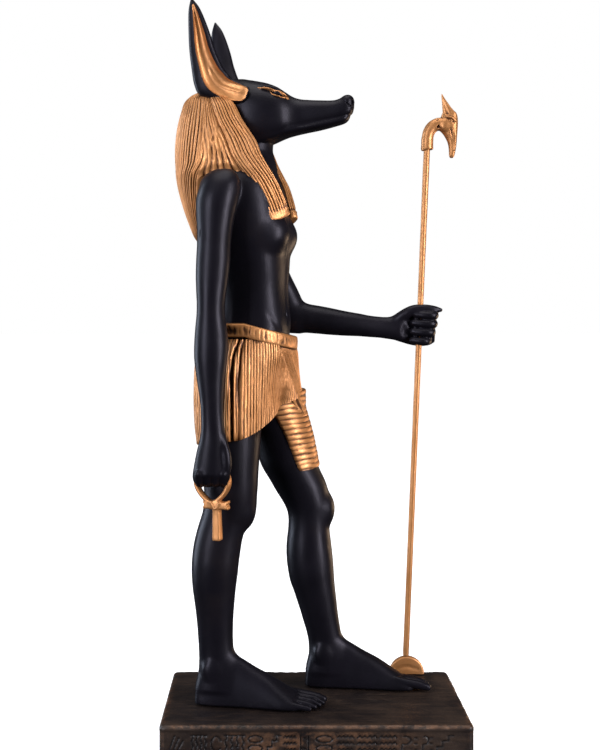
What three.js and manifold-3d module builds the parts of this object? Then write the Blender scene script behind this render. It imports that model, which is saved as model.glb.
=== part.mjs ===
// Striding jackal-headed figure on a rectangular plinth, holding a looped cross and a staff.
// Cast resin statuette, millimetres, +Z up. X runs along the plinth's long side and is the way
// the figure walks, Y runs across it, and the origin is the middle of the plinth's underside.
import * as THREE from 'three';
import { mergeVertices } from 'three/addons/utils/BufferGeometryUtils.js';
import Module from 'manifold-3d';

const wasm = await Module();
wasm.setup();

// ---------------------------------------------------------------- driving dimensions
const PLINTH_L = 120, PLINTH_D = 66, PLINTH_H = 24;   // plinth, long side / depth / height
const EDGE_R = 1.3, CORNER_R = 2.2;                   // worn edge of the plinth and its upright corners
const GAP = 0.3;                                      // clearance between pieces that rest on each other
const SOLE = PLINTH_H + GAP;                          // height of the soles
const BODY_YAW = 12;                                  // chest and head turn towards -Y, degrees
const BODY_X = -31, BODY_Y = 0;                       // upright axis of the chest and head
const ROD_R = 1.3;                                    // staff radius
const ROD_FOOT = [41.3, 28.5], ROD_HAND = [47.2, 27.5]; // staff axis at the foot plate and at the fist
const ROD_Z0 = 32.3, ROD_Z1 = 257.5, HAND_Z = 176.1;
const STROKE_DEPTH = 0.45, STROKE_W = 1.0;            // shallow strokes round the plinth
const KILT_PLEATS = 18, CLOTH_STRANDS = 10, TAB_RIBS = 8;
const rad = Math.PI / 180;

// ---------------------------------------------------------------- helpers
// rows of numbers, first column the parameter, drawn through as a smooth curve at m even steps
function flow(rows, m) {
  const T = rows.slice().sort((a, b) => a[0] - b[0]), n = T.length, w = T[0].length, out = [];
  const slope = T.map((r, i) => {
    const a = T[Math.max(i - 1, 0)], b = T[Math.min(i + 1, n - 1)];
    return r.map((_, k) => (b[k] - a[k]) / (b[0] - a[0]));
  });
  for (let j = 0; j < m; j++) {
    const q = T[0][0] + (T[n - 1][0] - T[0][0]) * j / (m - 1);
    let i = 0;
    while (i < n - 2 && T[i + 1][0] < q) i++;
    const h = T[i + 1][0] - T[i][0], u = (q - T[i][0]) / h, u2 = u * u, u3 = u2 * u, r = [];
    for (let k = 0; k < w; k++)
      r.push((2 * u3 - 3 * u2 + 1) * T[i][k] + (u3 - 2 * u2 + u) * h * slope[i][k] + (3 * u2 - 2 * u3) * T[i + 1][k] + (u3 - u2) * h * slope[i + 1][k]);
    out.push(r);
  }
  return out;
}
// superellipse point k of n
function oval(k, n, e = 2) {
  const a = 2 * Math.PI * k / n, c = Math.cos(a), s = Math.sin(a);
  return [Math.sign(c) * Math.abs(c) ** (2 / e), Math.sign(s) * Math.abs(s) ** (2 / e)];
}
// rings of points -> closed solid with both ends filled
function skin(rings) {
  const n = rings[0].length, m = rings.length, pos = [], idx = [];
  for (const r of rings) for (const p of r) pos.push(...p);
  for (const r of [rings[0], rings[m - 1]]) {
    const c = [0, 0, 0];
    for (const p of r) for (let k = 0; k < 3; k++) c[k] += p[k] / n;
    pos.push(...c);
  }
  for (let j = 0; j < m - 1; j++) for (let i = 0; i < n; i++) {
    const k = (i + 1) % n, a = j * n + i, b = j * n + k, c = (j + 1) * n + k, d = (j + 1) * n + i;
    idx.push(a, b, c, a, c, d);
  }
  for (let i = 0; i < n; i++) {
    const k = (i + 1) % n;
    idx.push(m * n, k, i, m * n + 1, (m - 1) * n + i, (m - 1) * n + k);
  }
  const g = new THREE.BufferGeometry();
  g.setAttribute('position', new THREE.Float32BufferAttribute(pos, 3));
  g.setIndex(idx);
  return solid(g);
}
// any closed geometry -> solid, turned right side out
function solid(geometry) {
  let g = geometry.clone();
  g.deleteAttribute('normal'); g.deleteAttribute('uv');
  g = mergeVertices(g, 1e-4);
  const p = g.attributes.position.array, t = Array.from(g.index.array), tri = [];
  let vol = 0;
  for (let i = 0; i < t.length; i += 3) {
    const [a, b, c] = [t[i], t[i + 1], t[i + 2]];
    if (a === b || b === c || a === c) continue;
    tri.push(a, b, c);
    const A = p.slice(3 * a, 3 * a + 3), B = p.slice(3 * b, 3 * b + 3), C = p.slice(3 * c, 3 * c + 3);
    vol += A[0] * (B[1] * C[2] - B[2] * C[1]) - A[1] * (B[0] * C[2] - B[2] * C[0]) + A[2] * (B[0] * C[1] - B[1] * C[0]);
  }
  if (vol < 0) for (let i = 0; i < tri.length; i += 3) [tri[i], tri[i + 1]] = [tri[i + 1], tri[i]];
  return new wasm.Manifold(new wasm.Mesh({ numProp: 3, vertProperties: new Float32Array(p), triVerts: new Uint32Array(tri) }));
}
function geometryOf(m) {
  const q = m.getMesh(), g = new THREE.BufferGeometry(), v = [];
  for (let i = 0; i < q.vertProperties.length; i += q.numProp) v.push(q.vertProperties[i], q.vertProperties[i + 1], q.vertProperties[i + 2]);
  g.setAttribute('position', new THREE.Float32BufferAttribute(v, 3));
  g.setIndex(Array.from(q.triVerts));
  g.computeVertexNormals();
  return g;
}
const join = list => list.reduce((a, b) => a.add(b));
// turn a point of the chest-and-head frame (x forward, y to the figure's left) into the plinth's frame
const bc = Math.cos(BODY_YAW * rad), bs = Math.sin(BODY_YAW * rad);
const body = (x, y, z) => [BODY_X + x * bc + y * bs, BODY_Y - x * bs + y * bc, z];
// upright limb: rows z, x, y, half length, half width
function limb(rows, n, m, yaw = 0, e = 2) {
  const c = Math.cos(yaw * rad), s = Math.sin(yaw * rad);
  return skin(flow(rows, m).map(([z, x, y, rx, ry]) => Array.from({ length: n }, (_, k) => {
    const [u, v] = oval(k, n, e);
    return [x + u * rx * c + v * ry * s, y - u * rx * s + v * ry * c, z];
  })));
}
// round bar through points, with a radius at each
function bar(points, radii, n = 8, steps = 8) {
  const curve = new THREE.CatmullRomCurve3(points.map(p => new THREE.Vector3(...p)));
  const rings = [], m = steps;
  for (let j = 0; j <= m; j++) {
    const t = j / m, c = curve.getPoint(t), d = curve.getTangent(t);
    let a = new THREE.Vector3(0, 0, 1).cross(d);
    if (a.length() < 0.25) a = new THREE.Vector3(0, 1, 0).cross(d);
    a.normalize();
    const b = d.clone().cross(a), f = t * (radii.length - 1), i = Math.min(Math.floor(f), radii.length - 2);
    const r = radii[i] + (radii[i + 1] - radii[i]) * (f - i);
    rings.push(Array.from({ length: n }, (_, k) => {
      const w = 2 * Math.PI * k / n;
      return [c.x + r * (Math.cos(w) * a.x + Math.sin(w) * b.x), c.y + r * (Math.cos(w) * a.y + Math.sin(w) * b.y), c.z + r * (Math.cos(w) * a.z + Math.sin(w) * b.z)];
    }));
  }
  return skin(rings);
}
// extruded outline in an upright plane: u along it, thickness across it
function plate(shape, thick, x, y, yaw, segments = 6) {
  const g = new THREE.ExtrudeGeometry(shape, { depth: thick, bevelEnabled: false, curveSegments: segments });
  g.translate(0, 0, -thick / 2);
  g.rotateX(Math.PI / 2);
  g.rotateZ(-yaw * rad);
  g.translate(x, y, 0);
  return solid(g);
}

// ---------------------------------------------------------------- legs and feet: z, x, y, half length, half width
const RIGHT_LEG = [[138, -33.6, -8.5, 12.6, 11.5], [126, -33.8, -8.6, 12.1, 11.2], [118, -33.6, -8.7, 11.3, 10.6], [110, -33.5, -8.8, 10.8, 9.8], [104.8, -33.8, -8.8, 10.5, 9.2],
  [97.8, -36.15, -8.8, 9.75, 8.6], [89.8, -38.5, -8.8, 9.6, 8.7], [81, -39.7, -8.8, 9.5, 8.8], [69.7, -40.15, -8.6, 8.6, 7.6],
  [57.6, -39.85, -8.4, 7.35, 6.1], [49.6, -39.6, -8.3, 7, 5.4], [43.5, -39.2, -8.2, 7.1, 5.3], [31, -39, -8.1, 7.6, 5.5]];
const LEFT_LEG = [[142, -16.9, 12, 13.4, 12.1], [131, -13.0, 12.8, 12.6, 11.6], [117, -9.4, 13.2, 12, 10.9], [110.8, -6.2, 13.4, 11.6, 10.3], [101.1, -2.2, 13.6, 9.8, 9.1],
  [93.9, -1.4, 13.8, 8.6, 8.5], [85.5, -1.4, 14, 9.3, 8.7], [80.4, -1.2, 14, 9.7, 8.8], [68.6, 0, 14, 9.4, 8.2],
  [60.2, 1.9, 14, 8.4, 7.1], [51.8, 3.7, 14.1, 7.6, 6.1], [43, 5.6, 14.3, 7.2, 5.4], [31, 6.2, 14.4, 7.7, 5.5]];
// along the foot: distance from the ankle, height, half width
const FOOT = [[-8.2, 4.5, 2.4], [-7.6, 8, 3.9], [-5.5, 12, 4.9], [-1, 16, 5.4], [5, 19.8, 5.5], [9, 18.9, 5.6], [16, 14.9, 6.1], [23.5, 11.1, 6.7], [31, 7.1, 7.2], [35, 5.6, 7.1], [38.5, 3.8, 6.4]];
function foot(x, y, yaw, side) {                       // side +1: the big toe is on the +Y side
  const c = Math.cos(yaw * rad), s = Math.sin(yaw * rad), n = 10;
  const at = (q, l, h) => [x + q * c + l * s, y - q * s + l * c, SOLE + h];
  const slant = (q, l) => q + Math.min(Math.max((q - 20) / 24, 0), 1) * (-2.4 + l * side * 0.45);
  const rings = flow(FOOT, 10).map(([q, h, w]) => Array.from({ length: n }, (_, k) => {
    const [u, v] = oval(k, n, 2.4), l = u * w;
    return at(slant(q, l), l, v > 0 ? 1.4 + (h - 1.4) * v : 1.4 * (1 + v));
  }));
  const list = [skin(rings)];
  const widths = [3.5, 2.3, 2.2, 2.1, 2.0], total = 12.1;
  let l = 6.3;
  widths.forEach((w, i) => {                           // five toes from the big one outwards
    const lc = (l - w / 2) * side, tip = [44.2, 43.4, 42.2, 40.8, 39.2][i], back = tip - 9;
    const toe = [[back, 0.9 * w / 2, 3.4], [tip - 4, w / 2, 2.6 + 0.25 * w], [tip - 1.6, w / 2, 2 + 0.3 * w], [tip - 0.2, 0.32 * w, 1.6]];
    list.push(skin(flow(toe, 4).map(([q, hw, h]) => Array.from({ length: 6 }, (_, k) => {
      const [u, v] = oval(k, 6, 2.2);
      return at(q, lc + u * hw * 1.04, h / 2 + v * h / 2);
    }))));
    l -= w;
  });
  return join(list);
}
const FEET = [foot(-39.5, -8, 6.5, 1), foot(5.4, 14.2, 4.4, -1)];

// ---------------------------------------------------------------- trunk and neck
const TRUNK = [[245, -24.6, 0, 7.5, 8.5], [241.5, -25.5, 0, 10, 14], [238, -26.8, 0, 11.6, 18.3], [233, -27.2, 0, 14, 21.2], [228, -27.2, 0, 15.8, 22.2], [222, -27.2, 0, 17.1, 22], [215, -26.9, 0, 17.8, 21.1],
  [209, -26.2, 0, 17.9, 20.2], [206, -25.8, 0, 17.6, 19.5], [202, -25.6, 0, 16, 18.3], [198.7, -25.3, 0, 15.2, 17.4], [194, -25, 0, 14.5, 16.3], [190, -24.8, 0, 14.2, 15.6], [184, -24.6, 0.2, 14.4, 15.3],
  [178, -24.8, 0.5, 15.3, 15.8], [172, -25.5, 0.8, 16.8, 17], [164, -26.5, 1, 17.6, 18]];
const NECK = [[258, -23.5, 0, 9.6, 9.5], [250, -24.6, 0, 8.9, 8.8], [244, -25, 0, 9, 9.2], [238, -26, 0, 10, 10.5]];

// ---------------------------------------------------------------- arms
const RIGHT_ARM = [[236.7, -35.6, -23.5, 3, 2.5], [235.2, -36, -24, 5.2, 4.2], [232.1, -36.5, -24.6, 7.2, 6], [228.2, -37.4, -25.2, 8.1, 6.9], [222, -38.4, -26.1, 7.9, 7], [212.8, -39.05, -26.8, 6.85, 6.3],
  [201.3, -39.6, -27.2, 6.6, 5.9], [195.5, -39.95, -27.3, 6.4, 5.8], [184.7, -40.45, -27.5, 5.5, 5.2], [180.1, -40.5, -27.5, 5.55, 5.1],
  [168.5, -40.35, -27.5, 6.6, 5.6], [162.8, -40.5, -27.5, 6.4, 5.4], [147.4, -40.15, -27.5, 4.6, 4], [141.6, -40, -27.4, 4.35, 3.6], [135.8, -39.75, -27.2, 4.6, 3.6],
  [128.1, -40, -26.8, 5.9, 4.5], [120.4, -40.3, -26.4, 7.1, 5.1], [117.6, -40.4, -26.2, 7.3, 5], [115.2, -40.3, -25.5, 6.6, 4.2], [113.4, -40, -24.6, 4, 2.2]];
const LEFT_UPPER_ARM = [[234.5, -27, 24, 4, 3.5], [232, -27.4, 24.6, 6.8, 5.8], [228, -28, 25.4, 8, 6.8], [222, -26.2, 26, 7.9, 6.9], [214, -23, 26.5, 7.2, 6.4], [206, -19.4, 27, 6.9, 6.1], [198, -15.8, 27.4, 6.8, 5.9],
  [190, -12, 27.8, 6.9, 5.7], [184, -9.6, 28, 7, 5.7], [178, -7.6, 28, 6.6, 5.6], [174, -7.2, 28, 4.8, 4.5], [172.6, -7.2, 28, 2.5, 2.5]];
// forearm and palm: x, y, z, half width, half height
const LEFT_FOREARM = [[-12.5, 28, 180, 2.5, 3], [-11, 28, 180, 4.3, 5], [-8, 28, 179.8, 5.5, 6.4], [-3.5, 28, 179.4, 5.9, 6.6], [3.9, 28, 178.3, 5.8, 6.1], [14.8, 28, 176.8, 5.1, 5.4], [21.3, 28.1, 176.1, 4.5, 4.95],
  [30, 28.4, 175.1, 3.7, 4.6], [33.4, 28.7, 174.8, 3.7, 4.8], [36, 29, 174.9, 3.8, 5.3], [40, 29.4, 175.5, 4.1, 7.1], [43.5, 30.8, 175.7, 3.6, 8.3], [48, 31.3, 175.9, 3.3, 9.1], [52, 31, 176, 3, 8.7], [54.2, 30.3, 176, 1.8, 7.4]];
function forearm() {
  const n = 10;
  return skin(flow(LEFT_FOREARM, 14).map(([x, y, z, ry, rz]) => Array.from({ length: n }, (_, k) => {
    const [u, v] = oval(k, n, 2.2);
    return [x, y + u * ry, z + v * rz];
  })));
}
// four fingers closed round the staff, and the thumb over them
const FINGERS = [[180.3, 54.9, 43.9, 2.05], [176.5, 54.6, 42.9, 2.1], [172.6, 53.9, 42.4, 2.05], [168.8, 52.3, 42.2, 1.9]];   // z, knuckle x, tip x, radius
function fist() {
  const list = FINGERS.map(([z, xk, xt, r]) => bar([[xk - 4.5, 31.2, z + 0.4], [xk - 1.9, 30.2, z + 0.2], [xk - r, 27.2, z], [xk - 3.2, 24.9, z], [(xk + xt) / 2, 24.5, z + 0.1], [xt + r, 25.6, z + 0.5]], [r, r, r, r, 0.92 * r, 0.7 * r], 6, 6));
  list.push(bar([[39, 27.8, 179.2], [44, 26.6, 182.4], [49, 26.3, 183.1], [53.5, 26.6, 182.7], [57, 27, 182.4]], [2.6, 2.4, 2.1, 1.8, 0.8], 6, 5));
  return join(list);
}

// ---------------------------------------------------------------- head, in the chest-and-head frame: x, top, bottom, half width
const HEAD = [[-16, 262, 250, 3], [-14.5, 266, 247, 7], [-10, 272.5, 245, 10.4], [-4, 276.2, 245, 11.6], [2, 276.6, 246, 12], [6, 275.9, 247.6, 11.9], [12, 274.5, 249.6, 10.9], [17.7, 272.4, 251.6, 9.3], [21.8, 269.3, 253.2, 7.5],
  [26, 267.5, 254.4, 6.2], [34, 266.7, 256.2, 5], [40, 266.5, 257.6, 4.5], [43, 267.3, 258.4, 4.3], [45.5, 268.1, 259.5, 3.9], [47.2, 267.4, 261, 2.8], [47.9, 265.8, 263, 1.2]];
const JAW = [[0, 256, 246, 9.5], [8, 257, 248.2, 9], [14, 257.5, 250.2, 7.8], [20, 258, 252.6, 6.2], [26, 258.5, 253.7, 5.2], [34, 259.5, 254.9, 4.4], [40, 260, 256.2, 3.9], [44, 260.5, 257.3, 3.4], [46, 260.8, 258.6, 2.4], [46.6, 260.6, 259.6, 1.2]];
const snout = (rows, n, m, e) => skin(flow(rows, m).map(([x, t, b, w]) => Array.from({ length: n }, (_, k) => {
  const [u, v] = oval(k, n, e);
  return body(x, u * w, (t + b) / 2 + v * (t - b) / 2);
})));
// ear: z, x, half length, distance from the middle, half thickness; hollowed on its outer face
const EAR = [[263.5, -2.5, 4.5, 8.6, 2.2], [266, -2.9, 8.2, 9.4, 2.7], [268.2, -3.2, 10, 10.1, 2.9], [270.2, -3.6, 10.9, 10.8, 3.1], [272.2, -4.7, 10.1, 11.6, 3.2], [275.5, -7.9, 7.7, 12.8, 3.2], [279, -9.5, 6.3, 13.8, 3],
  [285.3, -10.8, 5.3, 15.3, 2.7], [292.8, -11.9, 4.2, 16.6, 2.3], [300.3, -13.4, 2.5, 17.6, 1.6], [304, -14, 1.2, 18, 0.9], [305, -14.2, 0.5, 18.1, 0.4]];
function ear(side) {
  const n = 10;
  return skin(flow(EAR, 12).map(([z, x, a, d, b]) => Array.from({ length: n }, (_, k) => {
    const w = 2 * Math.PI * k / n, u = Math.cos(w), v = Math.sin(w);
    const depth = Math.min(Math.max((z - 266.5) / 4, 0), 1) * Math.min(Math.max((303.5 - z) / 6, 0), 1);
    const hollow = v > 0 ? Math.max(1 - (u / 0.78) ** 2, 0) ** 0.7 * b * 1.15 * depth : 0;
    return body(x + a * u, side * (d + b * v - hollow), z);
  })));
}

// ---------------------------------------------------------------- striped headcloth, chest-and-head frame
const CLOTH = [[209.5, -12.2, 0, 2.5, 9], [211, -12.4, 0, 4.2, 13], [215, -13.4, 0, 5, 14.2], [222, -14.4, 0, 6.7, 15.5], [230, -14.7, 0, 8.8, 17], [236, -14, 0, 10.6, 18.4], [240, -11.9, 0, 13.1, 19],
  [244, -11.1, 0, 14.2, 18.9], [250, -10.5, 0, 14.8, 18.2], [257, -10, 0, 14.5, 17], [263, -10, 0, 13, 15.4], [267, -10.5, 0, 11.2, 13.4], [269.5, -10.5, 0, 8.6, 11], [270.5, -10.5, 0, 5.5, 8]];
function headcloth() {
  const n = 2 * CLOTH_STRANDS;
  return skin(flow(CLOTH, 12).map(([z, x, y, rx, ry]) => Array.from({ length: n }, (_, k) => {
    const [u, v] = oval(k, n, 2.2), f = k % 2 ? -0.35 : 0.12;
    return body(x + u * (rx + f), y + v * (ry + f), z);
  })));
}
// the lappet that falls on the chest: z, x, distance from the middle, half width, half thickness, turn
const LAPPET = [[268, -5.5, 11, 3.2, 2, 0], [264.6, -2.9, 13.6, 4.2, 2.8, 2], [257.4, 0.5, 15.4, 4.9, 3.2, 5], [249.2, 5.2, 16.3, 5.7, 3.3, 9], [243.3, 7.6, 16.4, 5.8, 3.3, 13], [238.3, 10.4, 15.8, 5.8, 3.2, 19],
  [233.7, 13.3, 14.6, 5.7, 3, 27], [228, 15.9, 13, 5.6, 2.7, 35], [222.9, 17.8, 11.6, 5.5, 2.4, 41], [218.2, 19.1, 10.7, 5.3, 2.2, 45]];
function lappet(side) {
  const n = 12;
  return skin(flow(LAPPET, 9).map(([z, x, d, w, t, turn]) => Array.from({ length: n }, (_, k) => {
    const [u, v] = oval(k, n, 2.6), c = Math.cos(turn * rad), s = Math.sin(turn * rad), f = v < -0.1 && k % 2 ? 0.4 : 0;
    return body(x + u * w * c - v * (t - f) * s, side * (d - u * w * s - v * (t - f) * c), z);
  })));
}

// ---------------------------------------------------------------- kilt: the wrap round both thighs
// z, right thigh x y a b, left thigh x y a b
const KILT = [[171, -27.6, -2, 18, 15.5, -26.4, 4, 18.3, 15.5], [165, -29, -4, 18.4, 15.7, -24.8, 6, 18.6, 15.7], [158, -31, -5.5, 17.4, 15.2, -22.8, 8, 17.2, 15.2], [150, -32.5, -7, 16.1, 14.5, -20.3, 9.5, 15.7, 14.6],
  [143, -33.3, -8, 15.2, 13.9, -17.8, 11, 14.6, 14.1], [136, -33.8, -8.5, 14.3, 13.4, -15.3, 12.3, 14.2, 13.9], [129, -33.9, -8.7, 13.4, 12.9, -12.8, 13, 14, 13.6], [120, -33.9, -8.7, 12.6, 12.4, -10, 13, 13.8, 13.2]];
const KILT_C = [-25.5, 2], KILT_TOP = 170.5;
// bottom edge of the wrap, by direction in degrees
const HEM = [[-180, 128], [-150, 128.5], [-120, 130], [-100, 131.5], [-80, 134], [-62, 138], [-48, 141.5], [-20, 143.5], [10, 142], [50, 136], [90, 131], [130, 128.5], [180, 128]];
const KILT_FINE = flow(KILT, 40);
function wrapReach(row, C, phi) {                      // how far the cloth stretched round both thighs lies from C
  const [, nx, ny, na, nb, fx, fy, fa, fb] = row;
  let best = 1e9;
  for (let i = 0; i < 90; i++) {
    const p = i * Math.PI / 45, c = Math.cos(p), s = Math.sin(p), d = Math.cos(phi - p);
    if (d < 0.05) continue;
    const h = Math.max((nx - C[0]) * c + (ny - C[1]) * s + Math.hypot(na * c, nb * s), (fx - C[0]) * c + (fy - C[1]) * s + Math.hypot(fa * c, fb * s));
    best = Math.min(best, h / d);
  }
  return best;
}
function reachAt(z, phi) {
  const f = (z - KILT_FINE[0][0]) / (KILT_FINE[39][0] - KILT_FINE[0][0]) * 39, i = Math.min(Math.max(Math.floor(f), 0), 38);
  const a = wrapReach(KILT_FINE[i], KILT_C, phi), b = wrapReach(KILT_FINE[i + 1], KILT_C, phi);
  return a + (b - a) * (f - i);
}
function kilt() {
  const n = 2 * KILT_PLEATS, m = 6, rings = [];
  for (let j = 0; j < m; j++) rings.push(Array.from({ length: n }, (_, k) => {
    const phi = 2 * Math.PI * k / n, d = ((phi / rad + 180) % 360) - 180;
    const i = HEM.findIndex((h, q) => q < HEM.length - 1 && d <= HEM[q + 1][0]);
    const lo = HEM[i][1] + (HEM[i + 1][1] - HEM[i][1]) * (d - HEM[i][0]) / (HEM[i + 1][0] - HEM[i][0]);
    const z = lo + (KILT_TOP - lo) * j / (m - 1), r = reachAt(z, phi) + (k % 2 ? -0.3 : 0.1);
    return [KILT_C[0] + r * Math.cos(phi), KILT_C[1] + r * Math.sin(phi), z];
  }));
  return skin(rings);
}
const BELT_C = [-26.5, 1], BELT_H = 5.6;
function belt() {
  const n = 22, prof = [[0, -0.6], [0.12, 0.8], [0.88, 0.8], [1, -0.6]];
  return skin(prof.map(([v, out]) => Array.from({ length: n }, (_, k) => {
    const phi = 2 * Math.PI * k / n, r = wrapReach(KILT[0], BELT_C, phi) + out, x = BELT_C[0] + r * Math.cos(phi);
    const zc = Math.min(172.3 - 0.25 * (x + 21), 176.9 - BELT_H / 2);
    return [x, BELT_C[1] + r * Math.sin(phi), zc + BELT_H * (v - 0.5)];
  })));
}
// ribbed tab that hangs on the front of the left thigh
const TAB_TOP = 144, TAB_BOTTOM = 116.4;
function tab() {
  const m = 2 * TAB_RIBS + 1, thigh = flow(LEFT_LEG, 60), rings = [];
  for (let j = 0; j < m; j++) {
    const z0 = TAB_BOTTOM + (TAB_TOP - TAB_BOTTOM) * j / (m - 1), rib = j % 2 ? 1.0 : 0.55;
    const row = thigh.reduce((a, b) => Math.abs(b[0] - z0) < Math.abs(a[0] - z0) ? b : a);
    const arc = (a, o, dz) => [row[1] + (row[3] + o) * Math.cos(a * rad), row[2] + (row[4] + o) * Math.sin(a * rad), z0 + dz];
    const ring = [];
    for (let k = 0; k <= 5; k++) { const a = -84 + 96 * k / 5; ring.push(arc(a, rib, 0.9 * Math.sin(a * rad))); }
    for (let k = 3; k >= 0; k--) { const a = -80 + 88 * k / 3; ring.push(arc(a, -1.2, 0.9 * Math.sin(a * rad))); }
    rings.push(ring);
  }
  return skin(rings);
}

// ---------------------------------------------------------------- looped cross held in the right fist
const LOOP_Z = 117, LOOP_W = 8.2, LOOP_TOP = 124.5, LOOP_BOTTOM = 107.2, BAND = 1.7;
function loopedCross() {
  const ring = (grow) => {
    const s = new THREE.Path(), n = 18, pts = [];
    for (let k = 0; k < n; k++) {
      const a = 2 * Math.PI * k / n, up = Math.sin(a) > 0;
      const w = (LOOP_W - grow) * Math.cos(a) * (up ? 1 : 1 - 0.35 * Math.sin(a) ** 2);
      pts.push(new THREE.Vector2(w, LOOP_Z + Math.sin(a) * ((up ? LOOP_TOP - LOOP_Z : LOOP_Z - LOOP_BOTTOM) - grow)));
    }
    return pts;
  };
  const loop = new THREE.Shape(ring(0));
  loop.holes.push(new THREE.Path(ring(BAND).reverse()));
  const arm = new THREE.Shape([[-5.7, 105], [-2, 105.4], [2, 105.4], [5.7, 105], [5.3, 106.7], [5.7, 108.4], [2, 108], [-2, 108], [-5.7, 108.4], [-5.3, 106.7]].map(p => new THREE.Vector2(...p)));
  const stem = new THREE.Shape([[-1.85, 92.7], [1.85, 92.7], [1.35, 107], [-1.35, 107]].map(p => new THREE.Vector2(...p)));
  return join([plate(loop, 4, -39.9, -24.2, 15), plate(arm, 3.7, -39, -24.2, 15), plate(stem, 4.2, -39, -24.2, 15)]);
}

// ---------------------------------------------------------------- staff
const rodDir = new THREE.Vector3(ROD_HAND[0] - ROD_FOOT[0], ROD_HAND[1] - ROD_FOOT[1], HAND_Z - 31).normalize();
const rodAt = z => { const t = (z - 31) / (HAND_Z - 31); return [ROD_FOOT[0] + (ROD_HAND[0] - ROD_FOOT[0]) * t, ROD_FOOT[1] + (ROD_HAND[1] - ROD_FOOT[1]) * t, z]; };
function rod(r, z0, z1, n) {
  const g = new THREE.CylinderGeometry(r, r, z1 - z0, n, 1), a = rodAt(z0), b = rodAt(z1);
  g.rotateX(Math.PI / 2);
  g.applyMatrix4(new THREE.Matrix4().makeRotationFromQuaternion(new THREE.Quaternion().setFromUnitVectors(new THREE.Vector3(0, 0, 1), rodDir)));
  g.translate((a[0] + b[0]) / 2, (a[1] + b[1]) / 2, (a[2] + b[2]) / 2);
  return solid(g);
}
// animal head that crowns the staff: collar and bent neck, then z, x, half length, half width
const FINIAL = [[248.6, 60.7, 0.5, 0.5], [250.4, 61.0, 1.1, 1.0], [252, 61.1, 1.5, 1.3], [254, 61.1, 1.9, 1.6], [256, 60.9, 2.3, 1.9], [258, 60.4, 2.9, 2.3], [260.5, 60, 3.5, 2.7], [263, 59.6, 4.0, 3.0], [265.5, 59.5, 3.9, 3.0], [267.4, 59.4, 3.3, 2.7], [268.8, 59.2, 2.2, 2]];
const FINIAL_YAW = 15, FINIAL_AXIS = [59.5, 26.6];
function finial() {
  const c = Math.cos(FINIAL_YAW * rad), s = Math.sin(FINIAL_YAW * rad);
  const turn = (x, y, z) => [FINIAL_AXIS[0] + (x - FINIAL_AXIS[0]) * c + y * s, FINIAL_AXIS[1] - (x - FINIAL_AXIS[0]) * s + y * c, z];
  const neck = bar([[50.5, 27.05, 252.3], [50.65, 27, 255.5], [50.9, 27, 258.6], [52.2, 26.9, 261], [54.4, 26.8, 262.7], [57.5, 26.7, 263]], [2.6, 2.55, 2.6, 2.75, 2.95, 2.6], 9, 6);
  const skull = skin(flow(FINIAL, 8).map(([z, x, a, b]) => Array.from({ length: 8 }, (_, k) => { const [u, v] = oval(k, 8, 2.2); return turn(x + u * a, v * b, z); })));
  const horn = side => skin([[267, 58.9, 2.6, 2.0], [269, 58.4, 2.0, 1.5], [273, 57.1, 1.1, 1.0], [276, 56.3, 0.25, 0.3]].map(([z, x, a, b]) => Array.from({ length: 6 }, (_, k) => { const [u, v] = oval(k, 6); return turn(x + u * a, side * 1.5 + side * (z - 267) * 0.08 + v * b, z); })));
  return join([neck, skull, horn(1), horn(-1)]).subtract(rod(ROD_R + GAP, 251, ROD_Z1 + GAP, 10));
}
// upright half disc that the staff stands on
const DISC_R = 7.6, DISC_T = 3;
function footPlate() {
  const s = new THREE.Shape(), top = ROD_Z0 - GAP - SOLE;
  s.moveTo(-DISC_R, 0); s.lineTo(DISC_R, 0);
  const a0 = Math.acos(1.5 / DISC_R);
  s.absarc(0, 0, DISC_R, 0, a0, false);
  s.lineTo(1.5, top); s.lineTo(-1.5, top);
  s.absarc(0, 0, DISC_R, Math.PI - a0, Math.PI, false);
  const g = plate(s, DISC_T, ROD_FOOT[0] + 0.4, ROD_FOOT[1] + 0.1, 0, 10);
  return g.translate([0, 0, SOLE]);
}

// ---------------------------------------------------------------- plinth with shallow strokes round its sides
function plinth() {
  const n = 4, ring = (inset, z) => {
    const p = [], R = CORNER_R;
    for (let q = 0; q < 4; q++) for (let k = 0; k <= n - 1; k++) {
      const a = (q + k / (n - 1)) * Math.PI / 2, sx = q === 0 || q === 3 ? 1 : -1, sy = q < 2 ? 1 : -1;
      p.push([sx * (PLINTH_L / 2 - R) + (R - inset) * Math.cos(a), sy * (PLINTH_D / 2 - R) + (R - inset) * Math.sin(a), z]);
    }
    return p;
  };
  const rings = [ring(0.5, 0), ring(0, 0.5)];
  for (let k = 0; k <= 2; k++) { const a = k * 45 * rad; rings.push(ring(EDGE_R * (1 - Math.cos(a)), PLINTH_H - EDGE_R + EDGE_R * Math.sin(a))); }
  let block = skin(rings);
  // groups of upright bars under a long bar, with short bars between them
  const cuts = [];
  const cut = (face, u, w, z, h) => {
    const long = face < 2, g = new THREE.BoxGeometry(long ? w : 2 * STROKE_DEPTH, long ? 2 * STROKE_DEPTH : w, h);
    const half = long ? PLINTH_D / 2 : PLINTH_L / 2, sign = face % 2 ? 1 : -1;
    g.translate(long ? u : sign * half, long ? sign * half : u, z);
    cuts.push(solid(g));
  };
  for (let face = 0; face < 4; face++) {
    const half = (face < 2 ? PLINTH_L : PLINTH_D) / 2 - 6, groups = face < 2 ? 6 : 3, pitch = 2 * half / groups;
    for (let i = 0; i < groups; i++) {
      const u = -half + pitch * (i + 0.5), k = (i * 2 + face) % 3;
      if (k) cut(face, u, pitch * 0.62, 20.2, STROKE_W);
      for (let b = -1; b <= 1; b++) if (b !== k - 1) cut(face, u + b * pitch * 0.24, STROKE_W, 15 - Math.abs(b) * 0.8, 7.6 - 2 * Math.abs(b));
      cut(face, u, pitch * 0.5, 8.2 - k, STROKE_W);
    }
  }
  return block.subtract(join(cuts));
}

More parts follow.
